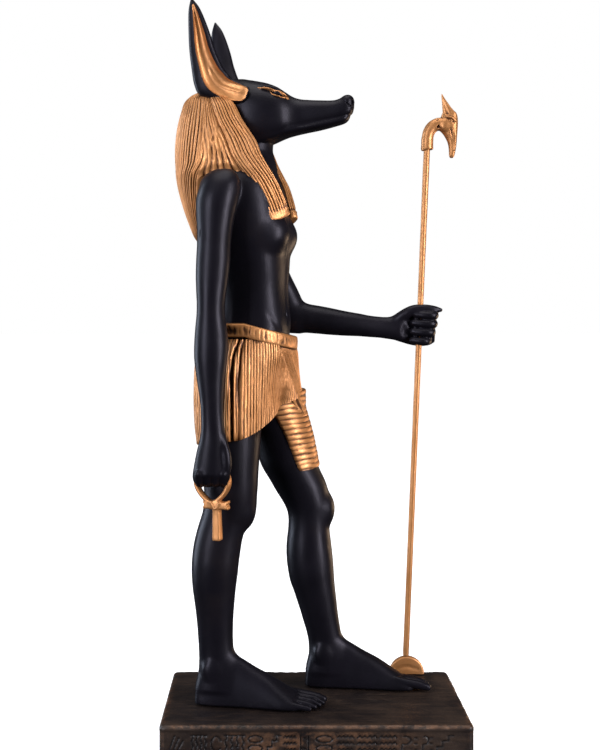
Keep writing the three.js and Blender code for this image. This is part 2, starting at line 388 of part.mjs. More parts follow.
// ---------------------------------------------------------------- the one casting
const figure = join([
  limb(RIGHT_LEG, 11, 14), limb(LEFT_LEG, 11, 14), ...FEET,
  limb(TRUNK, 14, 12, BODY_YAW, 2.15), limb(NECK, 12, 3, BODY_YAW),
  limb(RIGHT_ARM, 9, 19), limb(LEFT_UPPER_ARM, 10, 9), forearm(), fist(),
  snout(HEAD, 12, 15, 2.2), snout(JAW, 8, 7, 2.6), ear(1), ear(-1),
  headcloth(), lappet(1), lappet(-1), kilt(), belt(), tab(), loopedCross(),
]).subtract(rod(ROD_R + GAP, 160, 192, 12));

// ---------------------------------------------------------------- scene
const black = { color: 0x17141a, roughness: 0.35, metalness: 0 }, gold = { color: 0xb98252, roughness: 0.4, metalness: 0.7 };
const scene = new THREE.Group();
function place(name, m, look) {
  const mesh = new THREE.Mesh(geometryOf(m), new THREE.MeshStandardMaterial(look));
  mesh.name = name;
  scene.add(mesh);
}
place('plinth', plinth(), { color: 0x2c221b, roughness: 0.5, metalness: 0.2 });
place('figure', figure, black);
place('staff_rod', rod(ROD_R, ROD_Z0, ROD_Z1, 14), gold);
place('staff_head', finial(), gold);
place('staff_foot', footPlate(), gold);

export default scene;
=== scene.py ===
"""Visual model of the striding jackal-headed statuette: black lacquered cast figure with antiqued
gold headcloth, kilt and looped cross, a gold staff in three pieces, and the relief-carved plinth.
Shapes are worked out in millimetres in the part's own frame (X forward, Z up) and scaled to metres
when a mesh is made. The chest and head have a frame of their own, turned towards -Y."""

import math

import bpy
import numpy as np
import openvdb
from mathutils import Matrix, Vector
from mathutils.bvhtree import BVHTree
from mathutils.kdtree import KDTree


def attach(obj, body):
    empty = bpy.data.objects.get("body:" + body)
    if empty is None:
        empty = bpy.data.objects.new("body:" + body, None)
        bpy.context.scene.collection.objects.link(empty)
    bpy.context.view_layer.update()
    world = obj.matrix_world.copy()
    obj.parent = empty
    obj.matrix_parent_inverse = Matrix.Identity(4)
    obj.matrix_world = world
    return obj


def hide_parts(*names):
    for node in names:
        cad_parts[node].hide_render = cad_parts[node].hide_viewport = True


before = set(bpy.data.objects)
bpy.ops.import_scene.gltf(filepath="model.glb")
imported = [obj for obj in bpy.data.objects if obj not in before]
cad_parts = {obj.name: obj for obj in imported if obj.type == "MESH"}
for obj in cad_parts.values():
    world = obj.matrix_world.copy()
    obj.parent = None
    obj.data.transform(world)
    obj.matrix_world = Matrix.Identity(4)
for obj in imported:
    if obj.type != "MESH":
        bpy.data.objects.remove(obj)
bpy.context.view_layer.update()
MM = 0.001
RNG = np.random.default_rng(11)
D2R = math.pi / 180

# ------------------------------------------------------------------ driving sizes, mm
PLINTH_L, PLINTH_D, PLINTH_H = 120.0, 66.0, 24.0
SOLE = 24.3
BODY_YAW = 12 * D2R
BODY_X, BODY_Y = -31.0, 0.0
ROD_R = 1.3
ROD_FOOT, ROD_HAND, HAND_Z = (41.3, 28.5), (47.2, 27.5), 176.1
ROD_Z0, ROD_Z1 = 32.3, 257.5


# ------------------------------------------------------------------ curves and lofts
def flow(rows, m=None, at=None):
    """Rows of numbers, first column the parameter, drawn through as a smooth curve."""
    T = np.array(sorted(rows, key=lambda r: r[0]), float)
    t, n = T[:, 0], len(T)
    M = np.zeros_like(T)
    for i in range(n):
        a, b = max(i - 1, 0), min(i + 1, n - 1)
        M[i] = (T[b] - T[a]) / (t[b] - t[a])
    q = np.linspace(t[0], t[-1], m) if at is None else np.clip(np.asarray(at, float), t[0], t[-1])
    i = np.clip(np.searchsorted(t, q, side="right") - 1, 0, n - 2)
    h = (t[i + 1] - t[i])[..., None]
    u = (q - t[i])[..., None] / h
    u2, u3 = u * u, u * u * u
    return (2 * u3 - 3 * u2 + 1) * T[i] + (u3 - 2 * u2 + u) * h * M[i] + (3 * u2 - 2 * u3) * T[i + 1] + (u3 - u2) * h * M[i + 1]


def oval(n, e=2.0):
    a = np.arange(n) * 2 * math.pi / n
    c, s = np.cos(a), np.sin(a)
    return np.sign(c) * np.abs(c) ** (2 / e), np.sign(s) * np.abs(s) ** (2 / e)


def skin(R):
    """Rings (m, n, 3) -> closed mesh (vertices, quads, triangles)."""
    R = np.asarray(R, float)
    m, n = R.shape[:2]
    V = np.concatenate([R.reshape(-1, 3), R[0].mean(0)[None], R[-1].mean(0)[None]])
    i = np.arange(n)
    k = (i + 1) % n
    Q = np.concatenate([np.stack([j * n + i, j * n + k, (j + 1) * n + k, (j + 1) * n + i], 1) for j in range(m - 1)])
    T = np.concatenate([np.stack([np.full(n, m * n), k, i], 1), np.stack([np.full(n, m * n + 1), (m - 1) * n + i, (m - 1) * n + k], 1)])
    return right_side_out(V, Q, T)


def volume(V, Q, T):
    v = 0.0
    for F in (Q[:, [0, 1, 2]], Q[:, [0, 2, 3]], T):
        if len(F):
            a, b, c = V[F[:, 0]], V[F[:, 1]], V[F[:, 2]]
            v += np.einsum("ij,ij->i", a, np.cross(b, c)).sum()
    return v / 6


def right_side_out(V, Q, T):
    if volume(V, Q, T) < 0:
        Q, T = Q[:, ::-1], T[:, ::-1]
    return V, Q, T


def shell(outer, inner):
    """Two grids of points (rows, columns, 3), one above the other -> closed slab."""
    m, n = outer.shape[:2]
    V = np.concatenate([outer.reshape(-1, 3), inner.reshape(-1, 3)])
    o = m * n
    j, i = np.meshgrid(np.arange(m - 1), np.arange(n - 1), indexing="ij")
    a = (j * n + i).ravel()
    top = np.stack([a, a + 1, a + n + 1, a + n], 1)
    Q = [top, (top + o)[:, ::-1]]

    def wall(line):
        p, q = line[:-1], line[1:]
        Q.append(np.stack([q, p, p + o, q + o], 1))

    wall(np.arange(n))
    wall(np.arange(m) * n + n - 1)
    wall(np.arange(n)[::-1] + (m - 1) * n)
    wall(np.arange(m)[::-1] * n)
    return right_side_out(V, np.concatenate(Q), np.zeros((0, 3), int))


def body(P):
    """Chest-and-head frame (x forward, y to the figure's left, z) -> part frame."""
    P = np.asarray(P, float)
    c, s = math.cos(BODY_YAW), math.sin(BODY_YAW)
    return np.stack([BODY_X + P[..., 0] * c + P[..., 1] * s, BODY_Y - P[..., 0] * s + P[..., 1] * c, P[..., 2]], -1)


def limb(rows, n=32, m=60, yaw=0.0, e=2.0):
    A = flow(rows, m)
    X, Y = oval(n, e)
    c, s = math.cos(yaw), math.sin(yaw)
    lx, ly = A[:, 3:4] * X, A[:, 4:5] * Y
    return skin(np.stack([A[:, 1:2] + lx * c + ly * s, A[:, 2:3] - lx * s + ly * c, np.repeat(A[:, :1], n, 1)], -1))


def smooth(x):
    x = np.clip(x, 0, 1)
    return x * x * (3 - 2 * x)


def wave(n, knots, rng, amount=1.0):
    """Smooth random curve of n values."""
    k = rng.normal(size=knots + 3)
    x = np.linspace(1, knots, n)
    i = np.floor(x).astype(int)
    u = x - i
    a, b, c, d = k[i - 1], k[i], k[i + 1], k[np.minimum(i + 2, knots + 2)]
    return amount * (b + 0.5 * u * (c - a + u * (2 * a - 5 * b + 4 * c - d + u * (3 * (b - c) + d - a))))


# ------------------------------------------------------------------ signed distance fields
class Field:
    """A block of space in which solids are melted together and cut."""

    def __init__(self, lo, hi, step, band=4.0):
        self.lo, self.step, self.band = np.array(lo, float), step, band
        self.n = np.ceil((np.array(hi) - self.lo) / step).astype(int) + 1
        self.f = np.full(self.n, band, np.float32)

    def window(self, lo, hi):
        i0 = np.clip(np.floor((lo - self.lo) / self.step).astype(int), 0, self.n - 1)
        i1 = np.clip(np.ceil((hi - self.lo) / self.step).astype(int) + 1, 1, self.n)
        return i0, i1

    def merge(self, i0, i1, d, k, cut):
        s = (slice(i0[0], i1[0]), slice(i0[1], i1[1]), slice(i0[2], i1[2]))
        a = self.f[s]
        if cut:
            a = -a
        h = np.clip(0.5 + 0.5 * (d - a) / k, 0, 1)
        r = d + (a - d) * h - k * h * (1 - h)
        self.f[s] = -r if cut else r

    def mesh(self, mesh, k=1.0, cut=False):
        V, Q, T = mesh
        P = ((V - self.lo)).astype(np.float32)
        g = openvdb.FloatGrid.createLevelSetFromPolygons(
            np.ascontiguousarray(P), triangles=np.ascontiguousarray(T, np.uint32), quads=np.ascontiguousarray(Q, np.uint32),
            transform=openvdb.createLinearTransform(voxelSize=self.step), halfWidth=self.band / self.step)
        i0, i1 = self.window(V.min(0) - self.band, V.max(0) + self.band)
        a = np.empty(tuple(i1 - i0), np.float32)
        g.copyToArray(a, ijk=tuple(int(v) for v in i0))
        self.merge(i0, i1, a, k, cut)

    def axes(self, i0, i1):
        x, y, z = (self.lo[k] + self.step * np.arange(i0[k], i1[k]) for k in range(3))
        return x[:, None, None], y[None, :, None], z[None, None, :]

    def blob(self, c, r, k=1.0, cut=False, yaw=0.0, pitch=0.0):
        """Ellipsoid."""
        c, r = np.array(c, float), np.array(r, float)
        R = r.max() + self.band * 0.6
        i0, i1 = self.window(c - R, c + R)
        x, y, z = self.axes(i0, i1)
        x, y, z = x - c[0], y - c[1], z - c[2]
        x, y = x * math.cos(yaw) - y * math.sin(yaw), x * math.sin(yaw) + y * math.cos(yaw)
        x, z = x * math.cos(pitch) + z * math.sin(pitch), -x * math.sin(pitch) + z * math.cos(pitch)
        a = np.sqrt((x / r[0]) ** 2 + (y / r[1]) ** 2 + (z / r[2]) ** 2)
        b = np.sqrt((x / r[0] ** 2) ** 2 + (y / r[1] ** 2) ** 2 + (z / r[2] ** 2) ** 2)
        d = np.clip(a * (a - 1) / np.maximum(b, 1e-6), -self.band, self.band)
        self.merge(i0, i1, d.astype(np.float32), k, cut)

    def pipe(self, points, radii, k=1.0, cut=False, steps=None, squash=None):
        """Rounded bar through points; squash = (axis, factor) flattens its section along an axis."""
        P, r = np.array(points, float), np.array(radii, float)
        if steps:
            q = np.linspace(0, len(P) - 1, steps)
            P2 = flow([[i, *P[i], r[i]] for i in range(len(P))], at=q)
            P, r = P2[:, 1:4], P2[:, 4]
        R = r.max() + self.band * 0.6
        i0, i1 = self.window(P.min(0) - R, P.max(0) + R)
        x, y, z = self.axes(i0, i1)
        best = None
        for a, b, ra, rb in zip(P[:-1], P[1:], r[:-1], r[1:]):
            ab = b - a
            px, py, pz = x - a[0], y - a[1], z - a[2]
            t = np.clip((px * ab[0] + py * ab[1] + pz * ab[2]) / (ab @ ab), 0, 1)
            dx, dy, dz = px - t * ab[0], py - t * ab[1], pz - t * ab[2]
            if squash:
                dd = [dx, dy, dz]
                dd[squash[0]] = dd[squash[0]] * squash[1]
                dx, dy, dz = dd
            d = np.sqrt(dx * dx + dy * dy + dz * dz) - (ra + (rb - ra) * t)
            best = d if best is None else np.minimum(best, d)
        self.merge(i0, i1, np.clip(best, -self.band, self.band).astype(np.float32), k, cut)

    def half(self, p, normal, lo, hi, k=0.5, cut=True, slot=None):
        """Cut away the side of a plane inside a box lo..hi."""
        lo, hi, p, normal = (np.array(v, float) for v in (lo, hi, p, normal))
        normal /= np.linalg.norm(normal)
        i0, i1 = self.window(lo, hi)
        x, y, z = self.axes(i0, i1)
        d = -((x - p[0]) * normal[0] + (y - p[1]) * normal[1] + (z - p[2]) * normal[2])
        if slot is not None:
            d = np.abs(d) - slot
        self.merge(i0, i1, np.clip(d, -self.band, self.band).astype(np.float32), k, cut)

    def surface(self):
        g = openvdb.FloatGrid(1.5)
        g.transform = openvdb.createLinearTransform(voxelSize=self.step)
        g.copyFromArray(np.clip(self.f, -1.5, 1.5))
        P, T, Q = g.convertToPolygons(isovalue=0.0, adaptivity=0.0)
        return right_side_out(P.astype(float) + self.lo, Q.astype(int), T.astype(int).reshape(-1, 3))


# ------------------------------------------------------------------ Blender objects
def make(name, mesh, materials, faces=None, hollow_shade_wash=None):
    V, Q, T = mesh
    me = bpy.data.meshes.new(name)
    nq, nt = len(Q), len(T)
    me.vertices.add(len(V))
    me.vertices.foreach_set("co", (np.asarray(V) * MM).astype(np.float32).ravel())
    me.loops.add(nq * 4 + nt * 3)
    me.loops.foreach_set("vertex_index", np.concatenate([Q.ravel(), T.ravel()]).astype(np.int32))
    me.polygons.add(nq + nt)
    me.polygons.foreach_set("loop_start", np.concatenate([np.arange(nq) * 4, nq * 4 + np.arange(nt) * 3]).astype(np.int32))
    me.update(calc_edges=True)
    for m in materials:
        me.materials.append(m)
    idx = np.zeros(nq + nt, np.int32) if faces is None else np.asarray(faces, np.int32)
    me.polygons.foreach_set("material_index", idx)
    me.polygons.foreach_set("use_smooth", np.ones(nq + nt, bool))
    # per-vertex darkness in hollows, folds and along edges: painted shade, and on the gold also the antique wash in its
    # recesses
    a = me.attributes.new("hollow_shade_wash", "FLOAT", "POINT")
    a.data.foreach_set("value", (np.zeros(len(V)) if hollow_shade_wash is None else np.asarray(hollow_shade_wash)).astype(np.float32))
    me.validate()
    o = bpy.data.objects.new(name, me)
    bpy.context.scene.collection.objects.link(o)
    return o


def settle(o):
    """Applies an object's modifiers."""
    dg = bpy.context.evaluated_depsgraph_get()
    me = bpy.data.meshes.new_from_object(o.evaluated_get(dg), preserve_all_data_layers=True, depsgraph=dg)
    old = o.data
    o.modifiers.clear()
    o.data = me
    bpy.data.meshes.remove(old)


def thin(o, triangles):
    n = sum(len(p.vertices) - 2 for p in o.data.polygons)
    if n > triangles:
        d = o.modifiers.new("thin", "DECIMATE")
        d.ratio = triangles / n
        settle(o)


def boolean(o, other, operation="UNION"):
    b = o.modifiers.new("join", "BOOLEAN")
    b.operation, b.solver, b.object = operation, "MANIFOLD", other
    before = len(o.data.polygons)
    settle(o)
    if len(o.data.polygons) < 10:
        raise RuntimeError(f"joining {other.name} left {len(o.data.polygons)} of {before} faces")
    bpy.data.objects.remove(other, do_unlink=True)


def count(o):
    return sum(len(p.vertices) - 2 for p in o.data.polygons)


# ------------------------------------------------------------------ materials
def material(name):
    m = bpy.data.materials.new(name)
    m.use_nodes = True
    nt = m.node_tree
    nt.nodes.clear()
    out = nt.nodes.new("ShaderNodeOutputMaterial")
    p = nt.nodes.new("ShaderNodeBsdfPrincipled")
    nt.links.new(p.outputs[0], out.inputs[0])
    return m, nt, p


class Nodes:
    def __init__(self, nt):
        self.nt = nt
        self.geo = nt.nodes.new("ShaderNodeTexCoord").outputs["Object"]

    def link(self, a, b):
        self.nt.links.new(a, b)

    def noise(self, scale, detail=4.0, rough=0.55, distort=0.0, vector=None, out="Fac"):
        n = self.nt.nodes.new("ShaderNodeTexNoise")
        n.inputs["Scale"].default_value = scale
        n.inputs["Detail"].default_value = detail
        n.inputs["Roughness"].default_value = rough
        n.inputs["Distortion"].default_value = distort
        self.link(self.geo if vector is None else vector, n.inputs["Vector"])
        return n.outputs[out]

    def voronoi(self, scale, feature="F1", vector=None):
        n = self.nt.nodes.new("ShaderNodeTexVoronoi")
        n.feature = feature
        n.inputs["Scale"].default_value = scale
        self.link(self.geo if vector is None else vector, n.inputs["Vector"])
        return n.outputs["Distance"]

    def stretch(self, x, y, z):
        n = self.nt.nodes.new("ShaderNodeMapping")
        n.inputs["Scale"].default_value = (x, y, z)
        self.link(self.geo, n.inputs["Vector"])
        return n.outputs[0]

    def ramp(self, fac, stops, smooth_=False):
        n = self.nt.nodes.new("ShaderNodeValToRGB")
        e = n.color_ramp.elements
        if smooth_:
            n.color_ramp.interpolation = "EASE"
        while len(e) < len(stops):
            e.new(0.5)
        for k, (pos, c) in enumerate(stops):
            e[k].position = pos
            e[k].color = (*c, 1) if isinstance(c, tuple) else (c, c, c, 1)
        self.link(fac, n.inputs[0])
        return n.outputs[0]

    def math(self, op, a, b=None, clamp=False):
        n = self.nt.nodes.new("ShaderNodeMath")
        n.operation, n.use_clamp = op, clamp
        for k, v in enumerate((a, b)):
            if v is None:
                continue
            if isinstance(v, (int, float)):
                n.inputs[k].default_value = v
            else:
                self.link(v, n.inputs[k])
        return n.outputs[0]

    def mix(self, fac, a, b, mode="MIX"):
        n = self.nt.nodes.new("ShaderNodeMix")
        n.data_type, n.blend_type = "RGBA", mode
        for sock, v in ((n.inputs[0], fac), (n.inputs[6], a), (n.inputs[7], b)):
            if isinstance(v, (int, float)):
                sock.default_value = v
            elif isinstance(v, tuple):
                sock.default_value = (*v, 1)
            else:
                self.link(v, sock)
        return n.outputs[2]

    def attribute(self, name):
        n = self.nt.nodes.new("ShaderNodeAttribute")
        n.attribute_name = name
        return n.outputs["Fac"]

    def height(self):
        n = self.nt.nodes.new("ShaderNodeSeparateXYZ")
        self.link(self.geo, n.inputs[0])
        return n.outputs

    def bump(self, height, strength, distance, normal=None):
        n = self.nt.nodes.new("ShaderNodeBump")
        n.inputs["Strength"].default_value = strength
        n.inputs["Distance"].default_value = distance
        self.link(height, n.inputs["Height"])
        if normal is not None:
            self.link(normal, n.inputs["Normal"])
        return n.outputs[0]


def black_lacquer():
    m, nt, p = material("black_lacquer")
    g = Nodes(nt)
    cloud = g.noise(38, 5, 0.6)
    base = g.ramp(cloud, [(0.3, (0.0026, 0.0024, 0.0036)), (0.55, (0.0050, 0.0044, 0.0068)), (0.8, (0.0090, 0.0070, 0.0080))])
    dust = g.ramp(g.noise(900, 2, 0.7), [(0.72, 0.0), (0.80, 1.0)])
    low = g.ramp(g.height()[2], [(0.024, 1.0), (0.045, 0.15)])
    base = g.mix(g.math("MULTIPLY", dust, g.math("MULTIPLY", low, 0.25)), base, (0.10, 0.075, 0.065))
    # darker in hollows and creases: painted shade
    shade_wash = g.attribute("hollow_shade_wash")
    base = g.mix(g.math("MULTIPLY", shade_wash, 0.6), base, (0.0018, 0.0015, 0.0018))
    g.link(base, p.inputs["Base Color"])
    g.link(g.ramp(g.noise(60, 6, 0.65), [(0.3, 0.34), (0.7, 0.45)]), p.inputs["Roughness"])
    p.inputs["Specular IOR Level"].default_value = 0.17
    p.inputs["Specular Tint"].default_value = (0.90, 0.86, 1.0, 1)
    h = g.bump(g.noise(260, 3, 0.5), 0.10, 0.0004)
    g.link(g.bump(g.noise(55, 2, 0.5), 0.14, 0.0012, h), p.inputs["Normal"])
    return m


def gold_paint(name, warm=1.0, pale=1.0):
    m, nt, p = material(name)
    g = Nodes(nt)
    shade_wash = g.attribute("hollow_shade_wash")
    cloud = g.noise(70, 5, 0.6)
    fine = g.noise(650, 4, 0.6)
    light = g.mix(g.ramp(cloud, [(0.35, 0.0), (0.7, 1.0)]), (0.50 * pale, 0.215 * pale, 0.068 * pale), (0.66 * pale, 0.310 * pale, 0.120 * pale))
    dark = (0.085 * warm, 0.026, 0.006)
    # darker in hollows: painted shade together with the antique wash, plus fine random grime from the noise
    shade_and_grime = g.math("ADD", g.math("MULTIPLY", shade_wash, 1.1), g.math("MULTIPLY", g.math("SUBTRACT", fine, 0.5), 0.45), True)
    base = g.mix(g.ramp(shade_and_grime, [(0.08, 0.0), (0.80, 1.0)], True), light, dark)
    patch = g.ramp(g.noise(26, 3, 0.5), [(0.42, 0.0), (0.72, 0.5)])
    base = g.mix(patch, base, g.mix(g.ramp(shade_and_grime, [(0.08, 0.0), (0.80, 1.0)], True), (0.37, 0.145, 0.038), dark), "MIX")
    g.link(base, p.inputs["Base Color"])
    p.inputs["Metallic"].default_value = 0.55
    g.link(g.ramp(fine, [(0.3, 0.33), (0.7, 0.50)]), p.inputs["Roughness"])
    h = g.bump(fine, 0.22, 0.0003)
    g.link(g.bump(cloud, 0.2, 0.0008, h), p.inputs["Normal"])
    return m


def plinth_paint():
    m, nt, p = material("plinth_paint")
    g = Nodes(nt)
    shade_wash = g.attribute("hollow_shade_wash")
    worn = g.attribute("worn")
    cloud = g.noise(30, 6, 0.65, 0.6)
    fine = g.noise(420, 5, 0.65)
    brushed = g.noise(60, 5, 0.6, 0.2, g.stretch(1.0, 7.0, 7.0))
    base = g.ramp(cloud, [(0.30, (0.0065, 0.0052, 0.0060)), (0.50, (0.0140, 0.0095, 0.0080)), (0.72, (0.034, 0.021, 0.014))])
    base = g.mix(g.ramp(brushed, [(0.48, 0.0), (0.78, 0.45)]), base, (0.060, 0.036, 0.022))
    grain = g.ramp(g.noise(1300, 3, 0.7), [(0.56, 0.0), (0.70, 1.0)])
    base = g.mix(g.math("MULTIPLY", grain, g.ramp(cloud, [(0.40, 0.05), (0.7, 0.30)])), base, (0.10, 0.060, 0.040))
    rub = g.math("MULTIPLY", worn, g.ramp(g.noise(150, 6, 0.75), [(0.44, 0.0), (0.66, 1.0)]), True)
    base = g.mix(rub, base, (0.26, 0.125, 0.062))
    # darker in the strokes and under the top edge: painted shade
    base = g.mix(g.math("MULTIPLY", shade_wash, 0.95, True), base, (0.0035, 0.0027, 0.0027))
    speck = g.ramp(g.voronoi(520), [(0.0, 1.0), (0.080, 0.0)])
    pick = g.ramp(g.noise(95, 3, 0.6), [(0.55, 0.0), (0.68, 1.0)])
    base = g.mix(g.math("MULTIPLY", speck, g.math("MULTIPLY", pick, 0.7)), base, (0.30, 0.25, 0.25))
    g.link(base, p.inputs["Base Color"])
    g.link(g.ramp(cloud, [(0.3, 0.30), (0.7, 0.52)]), p.inputs["Roughness"])
    p.inputs["Specular IOR Level"].default_value = 0.30
    h = g.bump(fine, 0.40, 0.0004)
    g.link(g.bump(brushed, 0.3, 0.0006, h), p.inputs["Normal"])
    return m


BLACK = black_lacquer()
GOLD = gold_paint("gold_cloth")
GOLD_K = gold_paint("gold_kilt", 0.9, 0.92)
GOLD_R = gold_paint("gold_rod", 0.95, 0.85)
PLINTH = plinth_paint()
SET = [BLACK, GOLD, GOLD_K]

# ------------------------------------------------------------------ tables: legs
RIGHT_LEG = [[138, -33.6, -8.5, 12.6, 11.5], [126, -33.8, -8.6, 12.1, 11.2], [118, -33.6, -8.7, 11.3, 10.6], [110, -33.5, -8.8, 10.8, 9.8], [104.8, -33.8, -8.8, 10.5, 9.2], [101, -34.8, -8.8, 10.1, 8.8],
             [97.8, -36.15, -8.8, 9.75, 8.6], [94, -37.4, -8.8, 9.65, 8.6], [89.8, -38.5, -8.8, 9.6, 8.7], [85.5, -39.2, -8.8, 9.6, 8.8], [81, -39.7, -8.8, 9.5, 8.8], [75.5, -40, -8.7, 9.2, 8.4],
             [69.7, -40.15, -8.6, 8.6, 7.6], [63.6, -40, -8.5, 7.9, 6.8], [57.6, -39.85, -8.4, 7.35, 6.1], [49.6, -39.6, -8.3, 7, 5.4], [43.5, -39.2, -8.2, 7.1, 5.3], [37, -39, -8.1, 7.4, 5.5], [31, -39, -8.1, 7.6, 5.5]]
LEFT_LEG = [[142, -16.9, 12, 13.4, 12.1], [131, -13, 12.8, 12.6, 11.6], [124, -11.2, 13, 12.3, 11.3], [117, -9.4, 13.2, 12, 10.9], [110.8, -6.2, 13.4, 11.6, 10.3], [106.6, -4.3, 13.5, 11.1, 9.8], [101.1, -2.2, 13.6, 9.8, 9.1],
            [97.5, -1.55, 13.7, 8.9, 8.7], [93.9, -1.4, 13.8, 8.6, 8.5], [89.7, -1.4, 13.9, 8.8, 8.5], [85.5, -1.4, 14, 9.3, 8.7], [80.4, -1.2, 14, 9.7, 8.8], [75, -0.75, 14, 9.75, 8.7], [68.6, 0, 14, 9.4, 8.2],
            [64.4, 0.95, 14, 8.85, 7.7], [60.2, 1.9, 14, 8.4, 7.1], [56, 2.8, 14, 7.9, 6.6], [51.8, 3.7, 14.1, 7.6, 6.1], [47.6, 4.7, 14.2, 7.3, 5.7], [43, 5.6, 14.3, 7.2, 5.4], [37, 6.2, 14.4, 7.5, 5.5], [31, 6.2, 14.4, 7.7, 5.5]]
FOOT = [[-8.2, 4.5, 2.4], [-7.6, 8, 3.9], [-5.5, 12, 4.9], [-1, 16, 5.4], [5, 19.8, 5.5], [9, 18.9, 5.6], [16, 14.9, 6.1], [23.5, 11.0, 6.8], [29, 7.6, 7.3], [33, 5.2, 7.2], [35, 3.6, 6.9], [36.4, 1.9, 6.2]]
TRUNK = [[245, -24.6, 0, 7.5, 8.5], [241.5, -25.5, 0, 10, 14], [238, -26.8, 0, 11.6, 18.3], [233, -27.2, 0, 14, 21.2], [228, -27.2, 0, 15.6, 22.2], [222, -27.1, 0, 16.6, 22], [215, -26.8, 0, 16.9, 21.1],
         [209, -26.2, 0, 16.5, 20], [203, -25.6, 0, 15.6, 18.4], [198.7, -25.3, 0, 15.1, 17.4], [194, -25, 0, 14.5, 16.3], [190, -24.8, 0, 14.2, 15.6], [184, -24.6, 0.2, 14.4, 15.3],
         [178, -24.8, 0.5, 15.3, 15.8], [172, -25.7, 0.8, 15.8, 16.2], [164, -26.7, 1, 16.2, 16.8]]
NECK = [[258, -23.9, 0, 9.3, 9.5], [250, -24.8, 0, 8.4, 8.8], [244, -25.2, 0, 8.7, 9.2], [238, -26, 0, 9.6, 10.5]]
RIGHT_ARM = [[236.7, -35.6, -23.5, 3, 2.5], [235.2, -36, -24, 5.2, 4.2], [232.1, -36.5, -24.6, 7.2, 6], [228.2, -37.4, -25.2, 8.1, 6.9], [224.4, -38.1, -25.8, 8.2, 7.1], [218.6, -38.75, -26.4, 7.55, 6.8], [212.8, -39.05, -26.8, 6.85, 6.3],
             [207, -39.35, -27, 6.55, 6], [201.3, -39.6, -27.2, 6.6, 5.9], [195.5, -39.95, -27.3, 6.4, 5.8], [189.7, -40.25, -27.4, 5.95, 5.5], [184.7, -40.45, -27.5, 5.5, 5.2], [180.1, -40.5, -27.5, 5.55, 5.1],
             [174.3, -40.4, -27.5, 6.2, 5.4], [168.5, -40.35, -27.5, 6.6, 5.6], [162.8, -40.5, -27.5, 6.4, 5.4], [155.1, -40.5, -27.5, 5.4, 4.7], [147.4, -40.15, -27.5, 4.6, 4], [141.6, -40, -27.4, 4.35, 3.6],
             [135.8, -39.75, -27.2, 4.6, 3.6], [131.9, -39.7, -27, 5.2, 4], [128.1, -40, -26.8, 5.9, 4.5], [124.2, -40.1, -26.6, 6.6, 4.9], [120.4, -40.3, -26.4, 7.1, 5.1], [117.6, -40.4, -26.2, 7.3, 5],
             [115.5, -40.3, -25.6, 6.9, 4.4], [114, -40.1, -25, 5.8, 3.4], [113.4, -40, -24.6, 4, 2.2]]
LEFT_UPPER_ARM = [[234.5, -27, 24, 4, 3.5], [232, -27.4, 24.6, 6.8, 5.8], [228, -28, 25.4, 8, 6.8], [222, -26.2, 26, 7.9, 6.9], [214, -23, 26.5, 7.2, 6.4], [206, -19.4, 27, 6.9, 6.1], [198, -15.8, 27.4, 6.8, 5.9],
                  [190, -12, 27.8, 6.9, 5.7], [184, -9.6, 28, 7, 5.7], [178, -7.6, 28, 6.6, 5.6], [174, -7.2, 28, 4.8, 4.5], [172.6, -7.2, 28, 2.5, 2.5]]
# forearm: x, y, z, half width, half height
LEFT_FOREARM = [[-12.5, 28, 180, 2.5, 3], [-11, 28, 180, 4.3, 5], [-8, 28, 179.8, 5.5, 6.4], [-3.5, 28, 179.4, 5.9, 6.6], [-0.4, 28, 178.85, 5.9, 6.3], [3.9, 28, 178.3, 5.8, 6.1], [8.2, 28, 177.7, 5.6, 5.9], [14.8, 28, 176.8, 5.1, 5.4],
                [21.3, 28.1, 176.1, 4.5, 4.95], [25.6, 28.2, 175.5, 4, 4.7], [30, 28.4, 175.1, 3.7, 4.6], [33.4, 28.7, 174.8, 3.7, 4.8], [36, 29, 174.9, 3.8, 5.3], [40, 29.4, 175.5, 4.1, 7.1],
                [43.5, 30.8, 175.7, 3.6, 8.3], [48, 31.3, 175.9, 3.3, 9.1], [52, 31, 176, 3, 8.7], [54.2, 30.3, 176, 1.8, 7.4]]
# head: x, top, bottom, half width, in the chest-and-head frame
HEAD = [[-16, 262, 250, 3], [-14.5, 266, 247, 7], [-10, 272.5, 245, 10.2], [-4, 276.2, 245, 11.2], [2, 276.6, 246, 11.3], [5, 276.1, 247.0, 11.9], [9, 275.3, 248.4, 12.1], [13, 274.3, 249.8, 11.7], [17, 272.6, 251.3, 10.7], [20, 270.6, 252.5, 9.4],
        [23, 268.6, 253.6, 7.2], [26, 267.5, 254.5, 5.9], [30, 267.0, 255.4, 5.35], [34, 266.7, 256.2, 5], [40, 266.5, 257.6, 4.5], [43, 267.3, 258.4, 4.3], [45.5, 268.1, 259.5, 3.9], [47.2, 267.4, 261, 2.8], [47.9, 265.8, 263, 1.2]]
JAW = [[0, 256, 246, 9.5], [8, 257, 248.0, 9.4], [14, 257.0, 249.9, 8.4], [20, 257, 252.2, 6.8], [26, 257.4, 253.5, 5.35], [34, 258.6, 254.8, 4.6], [40, 259.4, 256.1, 4.0], [44, 260.1, 257.2, 3.4], [45.6, 260.3, 258.4, 2.4], [46.2, 260.1, 259.4, 1.2]]


def snout(rows, n=48, m=110, e=2.15, under=2.7):
    A = flow(rows, m)
    a = np.arange(n) * 2 * math.pi / n
    c, s_ = np.cos(a), np.sin(a)
    k = np.where(s_ > 0, e, under)
    X, Z = np.sign(c) * np.abs(c) ** (2 / k), np.sign(s_) * np.abs(s_) ** (2 / k)
    x = np.repeat(A[:, :1], n, 1)
    return skin(body(np.stack([x, A[:, 3:4] * X, (A[:, 1:2] + A[:, 2:3]) / 2 + Z * (A[:, 1:2] - A[:, 2:3]) / 2], -1)))


